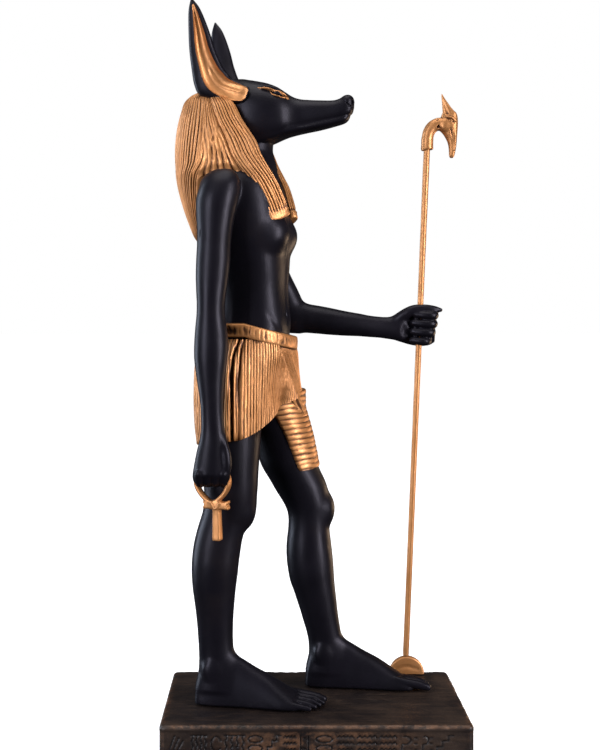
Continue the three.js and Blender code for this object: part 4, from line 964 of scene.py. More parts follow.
def kilt():
    """The kilt with its front panel; the near panel is laid over it separately."""
    a1 = np.arange(-180, -96.01, PLEAT / 6)
    b1 = np.linspace(-96, -53, 15)[1:-1]
    c1 = np.linspace(-53, 60, 34 * 6 + 1)
    a2 = np.arange(60 + PLEAT / 6, 180 - 0.01, PLEAT / 6)
    q = np.concatenate([a1, b1, c1, a2])
    n = len(q)
    step = STEP + [[138.5, 9.6]]

    def angle(z):
        line = lookup(step, z)
        ang = np.repeat(q[None], z.shape[0], 0)
        mid = (q > -96) & (q <= -53)
        fr = (q > -53) & (q < 60)
        ang = np.where(mid[None], -96 + (q[None] + 96) / 43 * (line + 96), ang)
        return np.where(fr[None], line + (q[None] + 53) / 113 * (60 - line), ang)

    T = np.array(UNDER_HEM, float)
    lo = np.full(n, 140.0)
    for _ in range(25):
        lo = 0.5 * lo + 0.5 * np.interp(angle(lo[None])[0], T[:, 0], T[:, 1])
    m = 34
    v = np.linspace(0, 1, m)[:, None]
    z = lo[None] + (KILT_TOP - lo[None]) * v
    dg = angle(z)
    front = (q >= -53) & (q <= 60)
    hidden = (q > -95.5) & (q < -53)
    s = np.where(front, (q + 53) / 113 * 34 + 40, (q + 180) / PLEAT)
    low, shade_wash = ridge(np.repeat(s[None], m, 0), 23, np.repeat(v, n, 1))
    amp = np.where(front, 0.26, 0.31)[None]
    r = kilt_radius(dg, z) - low * amp * (~hidden)[None]
    r = r - 0.55 * smooth((dg + 96.5) / 1.5) * (q < -53)[None]
    shade = np.exp(-((q + 52.5) / 2.6) ** 2) * front
    f1 = np.exp(-((dg - lookup(FOLD_1, z)) / 1.2) ** 2)
    f2 = np.exp(-((dg - lookup(FOLD_2, z)) / 1.1) ** 2)
    puff = 0.40 * np.exp(-((dg - lookup(FOLD_1, z) - 3.0) / 1.6) ** 2) + 0.40 * np.exp(-((dg - lookup(FOLD_1, z) + 3.4) / 2.0) ** 2)
    near_back = smooth((-dg - 111) / 6) * smooth((dg + 150) / 10)
    r = r - 1.4 * f1 - 0.8 * f2 + puff - 0.45 * near_back - 0.30 * shade[None]
    # darker in the pleat grooves, the two deep folds and just in front of the near panel's edge: painted shade, with
    # the antique wash
    shade_wash = np.clip(shade_wash * 0.9 + 0.9 * f1 + 0.65 * f2 + shade[None], 0, 1)
    # darker high on the kilt behind the hanging arm: painted shadow of the arm
    shade_wash = np.clip(shade_wash + 0.45 * near_back * np.exp(-((z - 166) / 9.0) ** 2), 0, 1)
    P = kilt_point(dg, z, r)
    rings = []
    for inset, dz in ((1.6, -0.2), (0.35, -0.28)):
        h = kilt_point(dg[0], z[0] + dz, r[0] - inset)
        rings.append(h[None])
    P = np.concatenate(rings + [P])
    # underside of the hem darker: painted shade
    shade_wash = np.concatenate([np.full((1, n), 0.8), np.full((1, n), 0.5), shade_wash])
    return skin(P), np.concatenate([shade_wash.ravel(), [1, 1]])


def near_panel():
    """The wrapped end of the kilt: vertical pleats that stop in a notched slanting edge."""
    deg = np.arange(-97.2, 0.6, PLEAT / 6)
    n = len(deg)
    s = (deg + 180) / PLEAT
    T, H = np.array(STEP_DOWN, float), np.array(NEAR_HEM, float)
    top = np.where(deg < -53.2, KILT_TOP, np.interp(deg, T[:, 0], T[:, 1]))
    f = s - np.floor(s)
    top = top + np.where(deg > -52.8, 0.85 * np.sin(math.pi * f) ** 0.7 - 0.45, 0)
    lo = np.interp(deg, H[:, 0], H[:, 1])
    top = np.maximum(top, lo + 0.5)
    m = 34
    v = np.linspace(0, 1, m)[:, None]
    z = lo[None] + (top - lo)[None] * v
    dg = np.repeat(deg[None], m, 0)
    low, shade_wash = ridge(np.repeat(s[None], m, 0), 23, (z - 128) / 43)
    pad = 0.80 * smooth((deg + 97) / 36)
    r = kilt_radius(dg, z) + pad[None] - low * 0.31 - 0.45 * (1 - smooth((deg + 97.2) / 1.8))[None]
    slant = (deg > -52.8)[None]
    near_edge = np.clip((top[None] - z) / 0.9, 0, 1)
    r = r - np.where(slant, 0.28 * (1 - near_edge) ** 2, 0)
    # darker along the slanting notched edge and on the hidden inner face: painted shade
    shade_wash = np.clip(shade_wash * 0.9 + np.where(slant, 0.45 * (1 - near_edge), 0), 0, 1)
    outer = kilt_point(dg, z, r)
    inner = kilt_point(dg, z, kilt_radius(dg, z) - 1.1)
    return shell(outer, inner), np.concatenate([shade_wash.ravel(), np.full(shade_wash.size, 0.9)])


BELT_C, BELT_H = (-26.5, 1.0), 5.6


def belt():
    n = 400
    phi = np.arange(n) * 2 * math.pi / n - math.pi
    deg = phi / D2R
    base = hull_reach(KILT[0][1:], BELT_C, phi)
    k = np.hanning(23)
    k /= k.sum()
    base = np.convolve(np.concatenate([base[-11:], base, base[:11]]), k, "valid")
    prof = [[-0.02, -1.6], [0.0, 0.3], [0.04, 0.85], [0.12, 1.15], [0.3, 1.32], [0.5, 1.38], [0.7, 1.32], [0.88, 1.15], [0.96, 0.85], [1.0, 0.3], [1.02, -1.6]]
    prof = flow([[i, *p] for i, p in enumerate(prof)], 24)
    rng = np.random.default_rng(3)
    ham = np.zeros((len(prof), n))
    for _ in range(90):
        a, zc, wa, wz = rng.uniform(0, n), rng.uniform(0.15, 0.85), rng.uniform(1.3, 2.6), rng.uniform(0.10, 0.35)
        d = np.abs((np.arange(n) - a + n / 2) % n - n / 2)
        ham -= rng.uniform(0.05, 0.16) * np.exp(-(d[None] / wa) ** 2 - ((prof[:, 1:2] - zc) / wz) ** 2)
    a = 0.0
    while a < n:
        zc, wa, wz = rng.uniform(0.4, 0.6), rng.uniform(0.8, 1.1), rng.uniform(0.28, 0.45)
        d = np.abs((np.arange(n) - a + n / 2) % n - n / 2)
        ham -= rng.uniform(0.10, 0.24) * np.exp(-(d[None] / wa) ** 2 - ((prof[:, 1:2] - zc) / wz) ** 4)
        a += rng.uniform(3.2, 8.0)
    ham = np.maximum(ham, -0.5) * np.exp(-((prof[:, 1:2] - 0.5) / 0.40) ** 6)
    x0 = BELT_C[0] + (base[None] + 1) * np.cos(phi)[None]
    lip = np.exp(-((deg[None] + 112) / 9.0) ** 2)          # rolled upper edge behind the hanging arm
    roll = lip * (0.9 * np.exp(-((prof[:, 1:2] - 0.86) / 0.14) ** 2) - 1.1 * np.exp(-((prof[:, 1:2] - 0.42) / 0.22) ** 2))
    zc = np.minimum(172.3 - 0.25 * (x0 + 21), 176.9 - BELT_H / 2)
    r = base[None] - 0.1 + 0.65 * np.clip(np.cos(phi), 0, 1)[None] + prof[:, 2:3] + ham + roll
    P = np.stack([BELT_C[0] + r * np.cos(phi)[None], BELT_C[1] + r * np.sin(phi)[None], zc + BELT_H * (prof[:, 1:2] - 0.5)], -1)
    # darker in the hammer dents, along both edges and under the rolled lip: painted shade
    shade_wash = np.clip(-ham * 3.0, 0, 0.8) + 0.9 * np.exp(-((prof[:, 1:2] - 0.0) / 0.05) ** 2) + 0.5 * np.exp(-((prof[:, 1:2] - 1.0) / 0.05) ** 2) + 0.8 * lip * np.exp(-((prof[:, 1:2] - 0.40) / 0.2) ** 2)
    return skin(P), np.concatenate([np.clip(shade_wash, 0, 1).ravel(), [0.5, 0.5]])


def tab():
    """Ribbed tab wrapped over the front and inner face of the left thigh."""
    ribs, per = 15, 6
    m = ribs * per + 1
    t = np.arange(m) / per
    v = t / ribs
    thigh = np.array(flow(LEFT_LEG, 200))
    cols = 46
    q = np.linspace(0, 1, cols)
    rng = np.random.default_rng(9)
    wob = np.stack([wave(cols, 5, rng, 0.09) for _ in range(ribs + 2)])
    a1 = 24.0
    left = np.interp(v, [0.0, 0.66, 1.0], [-75.0, -91.0, -97.0])[:, None]
    ang = left + (a1 - left) * q[None]
    z = 116.6 + (148.0 - 116.6) * v[:, None] + 2.2 * (q[None] - 0.3)
    k = np.floor(t - 1e-6).astype(int).clip(0)
    s = t[:, None] + wob[k + 1][:, :]
    f = s - np.floor(s)
    hump = np.sin(math.pi * f) ** 0.42
    row = np.stack([np.interp(z, thigh[:, 0], thigh[:, i]) for i in range(1, 5)], -1)
    edge = np.minimum(smooth(q / 0.05), smooth((1 - q) / 0.05))[None]
    out = 0.55 + 0.36 * hump
    out = out * edge + (-0.5) * (1 - edge)
    c, s_ = np.cos(ang * D2R), np.sin(ang * D2R)

    def at(o):
        return np.stack([row[..., 0] + (row[..., 2] + o) * c, row[..., 1] + (row[..., 3] + o) * s_, z + 0 * c], -1)

    # darker in the grooves between ribs: painted shade, with the antique wash
    shade_wash = np.clip((1 - hump) * 1.15, 0, 1) * np.ones_like(z)
    return shell(at(out), at(-1.6 + 0 * out)), np.concatenate([shade_wash.ravel(), np.zeros(shade_wash.size)])


# ------------------------------------------------------------------ looped cross
def ring(C, N, B, w, d, n=24, e=4.5):
    """Closed band: centre line C (m, 3), in-plane normals N (m, 3), plate normal B, half width, half depth."""
    X, Y = oval(n, e)
    V = C[:, None] + N[:, None] * (w * X)[None, :, None] + B[None, None] * (d * Y)[None, :, None]
    m = len(C)
    j, i = np.meshgrid(np.arange(m), np.arange(n), indexing="ij")
    Q = np.stack([j * n + i, j * n + (i + 1) % n, (j + 1) % m * n + (i + 1) % n, (j + 1) % m * n + i], -1).reshape(-1, 4)
    return right_side_out(V.reshape(-1, 3), Q, np.zeros((0, 3), int))


def looped_cross():
    yaw = -20 * D2R
    c, s = math.cos(yaw), math.sin(yaw)
    F = Field((-52, -31, 90.5), (-28, -17, 126), 0.22, 1.8)

    def at(u, v, z, x0=-39.1, y0=-24.2):
        return np.stack([x0 + u * c - v * s + 0 * z, y0 + u * s + v * c + 0 * z, z + 0 * u], -1)

    a = np.arange(96) / 96 * 2 * math.pi
    up = np.sin(a) > 0
    u = -1.0 + 6.75 * np.cos(a) * np.where(up, 1, 1 - 0.34 * np.sin(a) ** 2)
    z = 115.6 + np.sin(a) * np.where(up, 6.2, 8.1)
    C = at(u, 0.0, z)
    t = np.roll(C, -1, 0) - np.roll(C, 1, 0)
    t /= np.linalg.norm(t, axis=1)[:, None]
    B = np.array([-s, c, 0.0])
    F.mesh(ring(C, np.cross(t, B), B, 0.78, 1.75), 0.2)
    # crossbar: flat, a little flared, its ends notched
    X, Y = oval(32, 5)

    def bar(rows, along):
        A = flow(rows, 30)
        if along:
            P = at(np.repeat(A[:, :1], 32, 1), A[:, 3:4] * Y, A[:, 1:2] + A[:, 2:3] * X)
        else:
            P = at(A[:, 1:2] + A[:, 2:3] * X, A[:, 3:4] * Y, np.repeat(A[:, :1], 32, 1))
        return skin(P)

    F.mesh(bar([[-4.4, 106.55, 1.75, 1.75], [-3.0, 106.5, 1.5, 1.75], [-1.0, 106.6, 1.7, 1.85], [1.5, 106.6, 1.65, 1.85], [3.8, 106.5, 1.45, 1.75], [5.8, 106.65, 1.8, 1.75]], True), 0.25)
    for e, u0 in ((-1, -4.6), (1, 6.0)):
        F.pipe([at(u0, -2.4, 106.7), at(u0, 2.4, 106.7)], [0.62, 0.62], 0.25, True)
        F.pipe([at(u0 - e * 1.9, -2.0, 104.9), at(u0 - e * 1.9, -2.0, 108.3)], [0.3, 0.3], 0.25, True)
    F.mesh(bar([[92.9, 1.1, 1.55, 1.8], [93.6, 1.1, 1.72, 1.85], [96, 1.05, 1.62, 1.8], [101, 0.95, 1.48, 1.7], [107, 0.85, 1.4, 1.7]], False), 0.25)
    # little bosses where the arms meet the stem
    F.pipe([at(-1.1, -1.9, 108.0), at(0.8, -2.0, 105.3), at(2.6, -1.9, 107.6)], [0.35, 0.45, 0.35], 0.4, steps=8)
    return F


# ------------------------------------------------------------------ staff
def rod_mesh():
    n, m = 28, 150
    rng = np.random.default_rng(4)
    a = np.arange(n) * 2 * math.pi / n
    zs = np.linspace(ROD_Z0, ROD_Z1, m)
    C = np.array([rod_at(z) for z in zs])
    r = ROD_R * (1 + wave(m, 30, rng, 0.012)) + 0.10 * smooth((zs - 190) / 60)
    ex, ey = wave(m, 12, rng, 0.035), wave(m, 12, rng, 0.035)
    P = np.stack([C[:, :1] + ex[:, None] * 0 + r[:, None] * np.cos(a), C[:, 1:2] + ey[:, None] * 0 + r[:, None] * np.sin(a), np.repeat(C[:, 2:], n, 1)], -1)
    P[0] = P[0] * [1, 1, 1]
    return skin(P)


# finial skull: z, x, half length, half width
FINIAL = [[248.5, 60.9, 0.6, 0.55], [249.3, 61.0, 1.1, 0.95], [252, 61.25, 1.5, 1.25], [254.5, 61.25, 1.85, 1.5], [256.5, 60.95, 2.3, 1.85], [258.5, 60.5, 2.9, 2.35], [260.5, 60.1, 3.45, 2.75], [263, 59.85, 3.85, 3.05], [265.5, 59.9, 3.75, 2.95], [267.4, 60.0, 3.3, 2.5], [268.6, 60.0, 2.5, 1.9], [269.1, 60.0, 1.4, 1.1]]
FINIAL_EAR = [[266.6, 60.0, 3.0, 1.0], [268, 59.95, 2.75, 0.95], [270, 59.1, 2.0, 0.85], [272, 58.35, 1.35, 0.72], [274, 57.6, 0.75, 0.55], [275.4, 57.15, 0.38, 0.38], [276.1, 56.95, 0.15, 0.2]]
FINIAL_AXIS, FINIAL_YAW = (59.5, 26.6), 15 * D2R


def staff_head():
    F = Field((46.0, 20, 246.5), (65, 33, 278.2), 0.18, 2.2)
    c, s = math.cos(FINIAL_YAW), math.sin(FINIAL_YAW)

    def turn(x, y, z):
        return np.stack([FINIAL_AXIS[0] + (x - FINIAL_AXIS[0]) * c + y * s, FINIAL_AXIS[1] - (x - FINIAL_AXIS[0]) * s + y * c, z + 0 * x], -1)

    # bent neck and collar
    F.pipe([(50.45, 27.05, 254.0), (50.6, 27, 257.0), (51.1, 26.9, 259.6), (52.6, 26.8, 261.9), (55.2, 26.7, 263.3), (58.0, 26.6, 263.4)], [2.5, 2.5, 2.55, 2.65, 2.7, 2.4], 0.4, steps=22)
    F.pipe([(50.4, 27.05, 252.0), (50.45, 27.05, 256.5)], [2.5, 2.5], 0.4)
    ring_ = [(50.4 + 1.75 * math.cos(a), 27.05 + 1.75 * math.sin(a), 252.9) for a in np.arange(0, 21) / 20 * 2 * math.pi]
    F.pipe(ring_, [0.95] * 21, 0.25)
    F.half((50.4, 27.05, 252.0), (0.10, 0, -1), (46.2, 22, 246.5), (54.4, 32, 254), 0.15)
    # throat between neck and skull
    F.pipe([(57.3, 26.7, 262.0), (59.0, 26.5, 259.5)], [2.2, 1.7], 0.8)
    A = flow(FINIAL, 50)
    X, Y = oval(32, 2.2)
    F.mesh(skin(turn(A[:, 1:2] + A[:, 2:3] * X, A[:, 3:4] * Y, np.repeat(A[:, :1], 32, 1))), 0.35)
    for e in (-1, 1):
        B = flow(FINIAL_EAR, 40)
        lean = np.interp(B[:, :1], [266, 276], [1.25, 1.75])
        F.mesh(skin(turn(B[:, 1:2] + B[:, 2:3] * X, e * lean + B[:, 3:4] * Y, np.repeat(B[:, :1], 32, 1))), 0.35)
        # hollow of the ear
        F.pipe([turn(59.3, e * 2.75, 267.6), turn(58.4, e * 2.75, 270.4), turn(57.5, e * 2.6, 273.4)], [0.75, 0.62, 0.35], 0.25, True, steps=10)
        # cheek set off from the neck by a crease
        F.blob(turn(58.6, e * 1.9, 262.6), (2.75, 1.75, 3.0), 0.5)
        F.pipe([turn(55.0, e * 2.9, 265.6), turn(55.5, e * 3.0, 262.0), turn(57.2, e * 3.0, 259.6), turn(59.0, e * 2.3, 257.0), turn(60.2, e * 1.5, 254.0)], [0.45, 0.60, 0.50, 0.40, 0.25], 0.25, True, steps=16)
        # brow, eye and jaw line
        F.pipe([turn(59.4, e * 3.15, 266.0), turn(61.4, e * 2.85, 265.5), turn(62.9, e * 1.9, 264.2)], [0.50, 0.55, 0.45], 0.3, steps=10)
        F.pipe([turn(59.6, e * 3.4, 264.9), turn(61.3, e * 3.1, 264.3), turn(62.5, e * 2.4, 263.2)], [0.25, 0.42, 0.25], 0.2, True, steps=8)
        F.blob(turn(60.9, e * 2.75, 264.3), (0.75, 0.5, 0.45), 0.15)
        F.pipe([turn(60.9, e * 2.65, 260.8), turn(61.5, e * 2.0, 256.8), turn(61.6, e * 1.45, 252.0)], [0.35, 0.32, 0.2], 0.3, True, steps=10)
        F.pipe([turn(62.4, e * 1.6, 262.6), turn(62.7, e * 1.2, 257.0), turn(62.1, e * 0.9, 252.0)], [0.45, 0.40, 0.3], 0.4, steps=8)
    F.pipe([rod_at(250.5), rod_at(ROD_Z1 + 0.1)], [ROD_R + 0.25, ROD_R + 0.25], 0.05, True)
    return F


def staff_foot():
    x0, y0 = ROD_FOOT[0] + 0.4, ROD_FOOT[1] + 0.1
    F = Field((32, 24.5, 22.5), (51, 33, 34.5), 0.16, 1.6)
    n = 48
    a = np.arange(n + 1) / n * math.pi
    prof = [(-1.5, 0.55), (-1.25, 0.15), (-0.8, 0.0), (0.8, 0.0), (1.25, 0.15), (1.5, 0.55)]
    R = 7.55
    rings = []
    for yy, inset in prof:
        arc = np.stack([x0 + (R - inset) * np.cos(a), np.full(n + 1, y0 + yy), SOLE + 0.1 + (R - inset) * np.sin(a)], 1)
        base = np.stack([x0 + (R - inset) * np.linspace(-1, 1, 24)[1:-1], np.full(22, y0 + yy), np.full(22, SOLE + 0.1)], 1)
        rings.append(np.concatenate([arc, base]))
    F.mesh(skin(np.array(rings)), 0.2)
    # dished face towards the front, with a step near its foot
    F.pipe([(x0 - 4.6, y0 - 2.3, SOLE + 2.3), (x0, y0 - 2.5, SOLE + 3.4), (x0 + 4.6, y0 - 2.3, SOLE + 2.3)], [0.9, 1.25, 0.9], 0.6, True, steps=9)
    F.half((x0, y0, ROD_Z0 - 0.35), (0, 0, 1), (32, 24, ROD_Z0 - 2.0), (52, 34, 36), 0.1)
    return F


# ------------------------------------------------------------------ plinth
def strokes(u, z, half, seed):
    """Depth (0..1) of the shallow strokes on a side face, u along it, z up; not letters."""
    rng = np.random.default_rng(seed)
    depth = np.zeros_like(u)

    def bar(u0, z0, u1, z1, w=0.30):
        a, b = np.array([u0, z0]), np.array([u1, z1])
        d = b - a
        L = max(d @ d, 1e-6)
        t = np.clip(((u - a[0]) * d[0] + (z - a[1]) * d[1]) / L, 0, 1)
        dist = np.hypot(u - a[0] - t * d[0], z - a[1] - t * d[1])
        np.maximum(depth, smooth((w - dist) / 0.36 + 0.45), out=depth)

    def curve(points):
        for (p, q), (r_, t_) in zip(points[:-1], points[1:]):
            bar(p, q, r_, t_)

    for top, bottom in ((20.9, 13.2), (11.7, 4.0)):
        x = -half + 2.2
        h = top - bottom
        while x < half - 6:
            w = rng.uniform(4.4, 7.4)
            kind = rng.integers(0, 8)
            if kind == 0:          # comb of waved uprights under a level stroke
                bar(x, top - 0.7, x + w, top - 0.7)
                for k in range(4):
                    xx = x + 0.4 + k * (w - 0.8) / 3
                    curve([(xx + 0.35 * math.sin(j * 1.9 + k), top - 0.7 - j * (h - 1.6) / 6) for j in range(7)])
            elif kind == 1:        # open ring of strokes
                curve([(x + w / 2 + 0.42 * w * math.cos(a), (top + bottom) / 2 + 0.36 * h * math.sin(a)) for a in np.linspace(0.4, 5.6, 15)])
            elif kind == 2:        # uprights with ties
                bar(x + 0.6, top - 0.8, x + 0.6, bottom + 0.8)
                bar(x + w - 1.0, top - 0.9, x + w - 1.0, bottom + 0.8)
                bar(x + 1.6, top - 1.6, x + w - 2.0, top - 1.8)
                bar(x + 1.4, bottom + 2.1, x + w - 2.0, bottom + 1.9)
            elif kind == 3:        # slanting bundle
                for k in range(3):
                    bar(x + k * 1.6, bottom + 1.0, x + 2.2 + k * 1.6, top - 0.8 - k * 0.9)
                bar(x + 0.2, bottom + 1.0, x + w - 0.6, bottom + 0.9)
            elif kind == 4:        # water ripples
                for k in range(3):
                    zz = top - 1.2 - k * h / 3.2
                    curve([(x + j * w / 8, zz + (0.42 if j % 2 else -0.42)) for j in range(9)])
            elif kind == 5:        # hook and dots
                curve([(x + w * 0.25 + 0.32 * w * math.sin(a), top - 1.0 - 0.2 * h + 0.2 * h * math.cos(a)) for a in np.linspace(-0.2, 3.6, 10)] + [(x + 0.3, bottom + 0.8)])
                for k in range(3):
                    bar(x + w - 1.4, top - 1.6 - k * 2.2, x + w - 0.7, top - 1.6 - k * 2.2)
            elif kind == 6:        # pair of bows
                for zc in (top - 0.27 * h, bottom + 0.27 * h):
                    curve([(x + w / 2 + 0.44 * w * math.cos(a), zc + 0.17 * h * math.sin(a)) for a in np.linspace(0, 2 * math.pi, 15)])
            else:                  # steps
                curve([(x, bottom + 1.0), (x, bottom + 0.35 * h), (x + w * 0.35, bottom + 0.35 * h), (x + w * 0.35, bottom + 0.65 * h), (x + w * 0.7, bottom + 0.65 * h), (x + w * 0.7, top - 0.8), (x + w, top - 0.8)])
            x += w + rng.uniform(0.9, 1.7)
    return depth


def plinth():
    R, EDGE = 2.2, 1.35
    hx, hy = PLINTH_L / 2, PLINTH_D / 2
    # outline walked once round, with its outward normal
    pts, nor, face, uu = [], [], [], []
    step = 0.42

    def side(p0, p1, nrm, f, sign):
        L = np.hypot(*(np.array(p1) - p0))
        k = int(L / step)
        for i in range(k):
            q = np.array(p0) + (np.array(p1) - p0) * i / k
            pts.append(q)
            nor.append(nrm)
            face.append(f)
            uu.append(sign * (q[0] if f in (0, 2) else q[1]))

    def corner(cx, cy, a0):
        for i in range(7):
            a = (a0 + i * 90 / 7) * D2R
            pts.append(np.array([cx + R * math.cos(a), cy + R * math.sin(a)]))
            nor.append((math.cos(a), math.sin(a)))
            face.append(-1)
            uu.append(0.0)

    side((-hx + R, -hy), (hx - R, -hy), (0, -1), 0, 1)
    corner(hx - R, -hy + R, -90)
    side((hx, -hy + R), (hx, hy - R), (1, 0), 1, 1)
    corner(hx - R, hy - R, 0)
    side((hx - R, hy), (-hx + R, hy), (0, 1), 2, -1)
    corner(-hx + R, hy - R, 90)
    side((-hx, hy - R), (-hx, -hy + R), (-1, 0), 3, -1)
    corner(-hx + R, -hy + R, 180)
    pts, nor, face, uu = np.array(pts), np.array(nor), np.array(face), np.array(uu)
    n = len(pts)
    rng = np.random.default_rng(21)
    # rows: underside, foot edge, side, worn top edge, top
    zs = np.concatenate([[0.0, 0.12, 0.4], np.linspace(0.9, PLINTH_H - EDGE, 54)])
    inset = np.concatenate([[0.6, 0.25, 0.05], np.zeros(54)])
    rows, shade_wash_rows, worn = [], [], []
    dents = np.zeros(n)
    for _ in range(90):
        a, w, d = rng.uniform(0, n), rng.uniform(1.5, 7), rng.uniform(0.05, 0.30)
        dist = np.abs((np.arange(n) - a + n / 2) % n - n / 2)
        dents += d * np.exp(-(dist / w) ** 2)
    slow = np.tile(wave(n // 2 + 1, 40, rng, 0.10), 2)[:n]
    for z, ins in zip(zs, inset):
        depth = np.zeros(n)
        for f, half, seed in ((0, hx, 31), (1, hy, 32), (2, hx, 33), (3, hy, 34)):
            k = face == f
            depth[k] = strokes(uu[k], np.full(k.sum(), z), half - 1.5, seed)
        # sunk panel behind the strokes, its rims left proud
        panel = smooth((z - 2.4) / 0.7) * smooth((22.0 - z) / 0.5)
        off = -(ins + 0.42 * depth + 0.10 * panel) + 0.05 * slow
        rows.append(np.concatenate([pts + nor * off[:, None], np.full((n, 1), z)], 1))
        # darker in the strokes, faintly on the sunk panel and under the top edge: painted shade
        shade_wash_rows.append(np.clip(depth * 0.95 + 0.10 * panel + 0.35 * np.exp(-((z - 21.9) / 0.5) ** 2), 0, 1))
        near_stroke = np.clip(depth * 2.5, 0, 1) * (1 - depth)
        along = np.where(face == 0, np.exp(-((uu - 0.0) / 34.0) ** 4), 0.75)
        worn.append(panel * along * (0.50 + 0.5 * near_stroke) * (1 - depth))
    for k in range(1, 9):
        a = k / 8 * math.pi / 2
        r = EDGE
        off = -(r * (1 - math.cos(a))) - dents * math.sin(2 * a) * 0.9 + 0.05 * slow
        z = PLINTH_H - r + r * math.sin(a) - dents * math.sin(a) * 0.55
        rows.append(np.concatenate([pts + nor * off[:, None], np.reshape(z, (n, 1))], 1))
        shade_wash_rows.append(np.zeros(n))
        worn.append(np.full(n, 0.42 * math.sin(2 * a) ** 0.8 + 0.04) + 0.5 * np.clip(dents, 0, 0.6))
    last = rows[-1]
    last_z = last[:, 2].copy()
    for ins in (0.6, 1.4, 2.6, 4.5, 7.5, 12, 18, 25, hy - R - EDGE - 0.4):
        q = pts.copy()
        lim_x, lim_y = hx - EDGE - ins, hy - EDGE - ins
        q = np.stack([np.clip(pts[:, 0] * (1 - (EDGE + ins) / hx), -lim_x, lim_x), np.clip(pts[:, 1] * (1 - (EDGE + ins) / hy), -lim_y, lim_y)], 1)
        und = 0.09 * np.sin(q[:, 0] * 0.31 + 1.0) * np.sin(q[:, 1] * 0.43) + 0.05 * np.sin(q[:, 0] * 0.9 + q[:, 1] * 0.7)
        k = smooth(ins / 3.0)
        z = last_z * (1 - k) + (PLINTH_H - 0.12 + und * 0.8) * k
        z = np.minimum(z, PLINTH_H)
        rows.append(np.concatenate([q, z[:, None]], 1))
        shade_wash_rows.append(np.zeros(n))
        worn.append(np.full(n, 0.25 * max(0.0, 1 - ins / 1.6)))
    V, Q, T = skin(np.array(rows))
    return (V, Q, T), np.concatenate([np.array(shade_wash_rows).ravel(), [0, 0]]), np.concatenate([np.array(worn).ravel(), [0, 0]])


# ------------------------------------------------------------------ painted eye lines laid on the head
def ribbons(tree, side):
    """Thin raised strips that follow the head's surface, drawn in its side view: x, z, width."""
    shapes = [
        [(10.4, 271.0, 0.25), (12.2, 270.85, 0.55), (14.4, 270.5, 0.75), (16.2, 269.95, 0.85), (17.4, 269.45, 0.7), (18.6, 269.35, 0.35)],
        [(15.5, 269.1, 0.2), (16.4, 268.3, 0.42), (17.6, 267.7, 0.5), (19.5, 267.2, 0.45), (21.0, 266.95, 0.3)],
        [(18.8, 269.45, 0.3), (19.7, 269.0, 0.7), (20.7, 268.2, 1.05), (21.6, 267.3, 1.0), (22.4, 266.4, 0.45)],
    ]
    out = []
    c, s = math.cos(BODY_YAW), math.sin(BODY_YAW)
    inward = Vector((s * -side, c * -side, 0))
    for rows in shapes:
        P = flow([[i, *r] for i, r in enumerate(rows)], 26)[:, 1:]
        d = np.gradient(P[:, :2], axis=0)
        d /= np.linalg.norm(d, axis=1)[:, None]
        nrm = np.stack([-d[:, 1], d[:, 0]], 1)
        top, bot = [], []
        for (x, z, w), (nx, nz) in zip(P, nrm):
            rt, rb = [], []
            for k in (-1, -0.8, -0.4, 0, 0.4, 0.8, 1):
                xx, zz = x + nx * w / 2 * k, z + nz * w / 2 * k
                start = Vector(body((xx, side * 25.0, zz)) * MM)
                hit, n_, _, _ = tree.ray_cast(start, inward)
                if hit is None:
                    hit, n_ = Vector(body((xx, side * 7.0, zz)) * MM), -inward
                lift = 0.20 * (1 - abs(k) ** 4) + 0.02
                rt.append(np.array(hit + n_ * lift * MM) / MM)
                rb.append(np.array(hit - n_ * 0.55 * MM) / MM)
            top.append(rt)
            bot.append(rb)
        out.append(shell(np.array(top), np.array(bot)))
    return out


# ------------------------------------------------------------------ put the figure together
def mirror(P):
    P = P.copy()
    P[..., 1] *= -1
    return P


F = build_body()
figure = make("figure_cast", F.surface(), SET)
thin(figure, 66000)
skull = make("skull", build_head().surface(), SET)
thin(skull, 24000)
del F
tree = BVHTree.FromObject(skull, bpy.context.evaluated_depsgraph_get())

parts = [skull]
mesh, shade_wash = cloth_back()
parts.append(make("nape", mesh, SET, np.full(len(mesh[1]) + len(mesh[2]), 1), shade_wash))
outer, inner, shade_wash = cloth_over()
for side in (-1, 1):
    o, i = (outer, inner) if side < 0 else (mirror(outer), mirror(inner))
    mesh = shell(body(o), body(i))
    parts.append(make(f"over{side}", mesh, SET, np.full(len(mesh[1]), 1), shade_wash))
    mesh, shade_wash2 = lappet(side)
    parts.append(make(f"lappet{side}", mesh, SET, np.full(len(mesh[1]) + len(mesh[2]), 1), shade_wash2))
for side in (-1, 1):
    mesh, faces, shade_wash = ear(side)
    parts.append(make(f"ear{side}", mesh, SET, faces, shade_wash))
mesh, shade_wash = kilt()
parts.append(make("kilt", mesh, SET, np.full(len(mesh[1]) + len(mesh[2]), 2), shade_wash))
mesh, shade_wash = near_panel()
parts.append(make("near_panel", mesh, SET, np.full(len(mesh[1]), 2), shade_wash))
mesh, shade_wash = tab()
parts.append(make("tab", mesh, SET, np.full(len(mesh[1]), 2), shade_wash))
mesh, shade_wash = belt()
parts.append(make("belt", mesh, SET, np.full(len(mesh[1]) + len(mesh[2]), 2), shade_wash))
cross = make("cross", looped_cross().surface(), SET)
cross.data.polygons.foreach_set("material_index", np.full(len(cross.data.polygons), 1, np.int32))
thin(cross, 7000)
parts.append(cross)
for side in (-1, 1):
    for k, mesh in enumerate(ribbons(tree, side)):
        parts.append(make(f"line{side}_{k}", mesh, SET, np.full(len(mesh[1]), 1), np.full(len(mesh[0]), 0.1)))
def stored(o):
    n = len(o.data.vertices)
    v, c = np.empty(n * 3), np.empty(n, np.float32)
    o.data.vertices.foreach_get("co", v)
    o.data.attributes["hollow_shade_wash"].data.foreach_get("value", c)
    return v.reshape(-1, 3), c


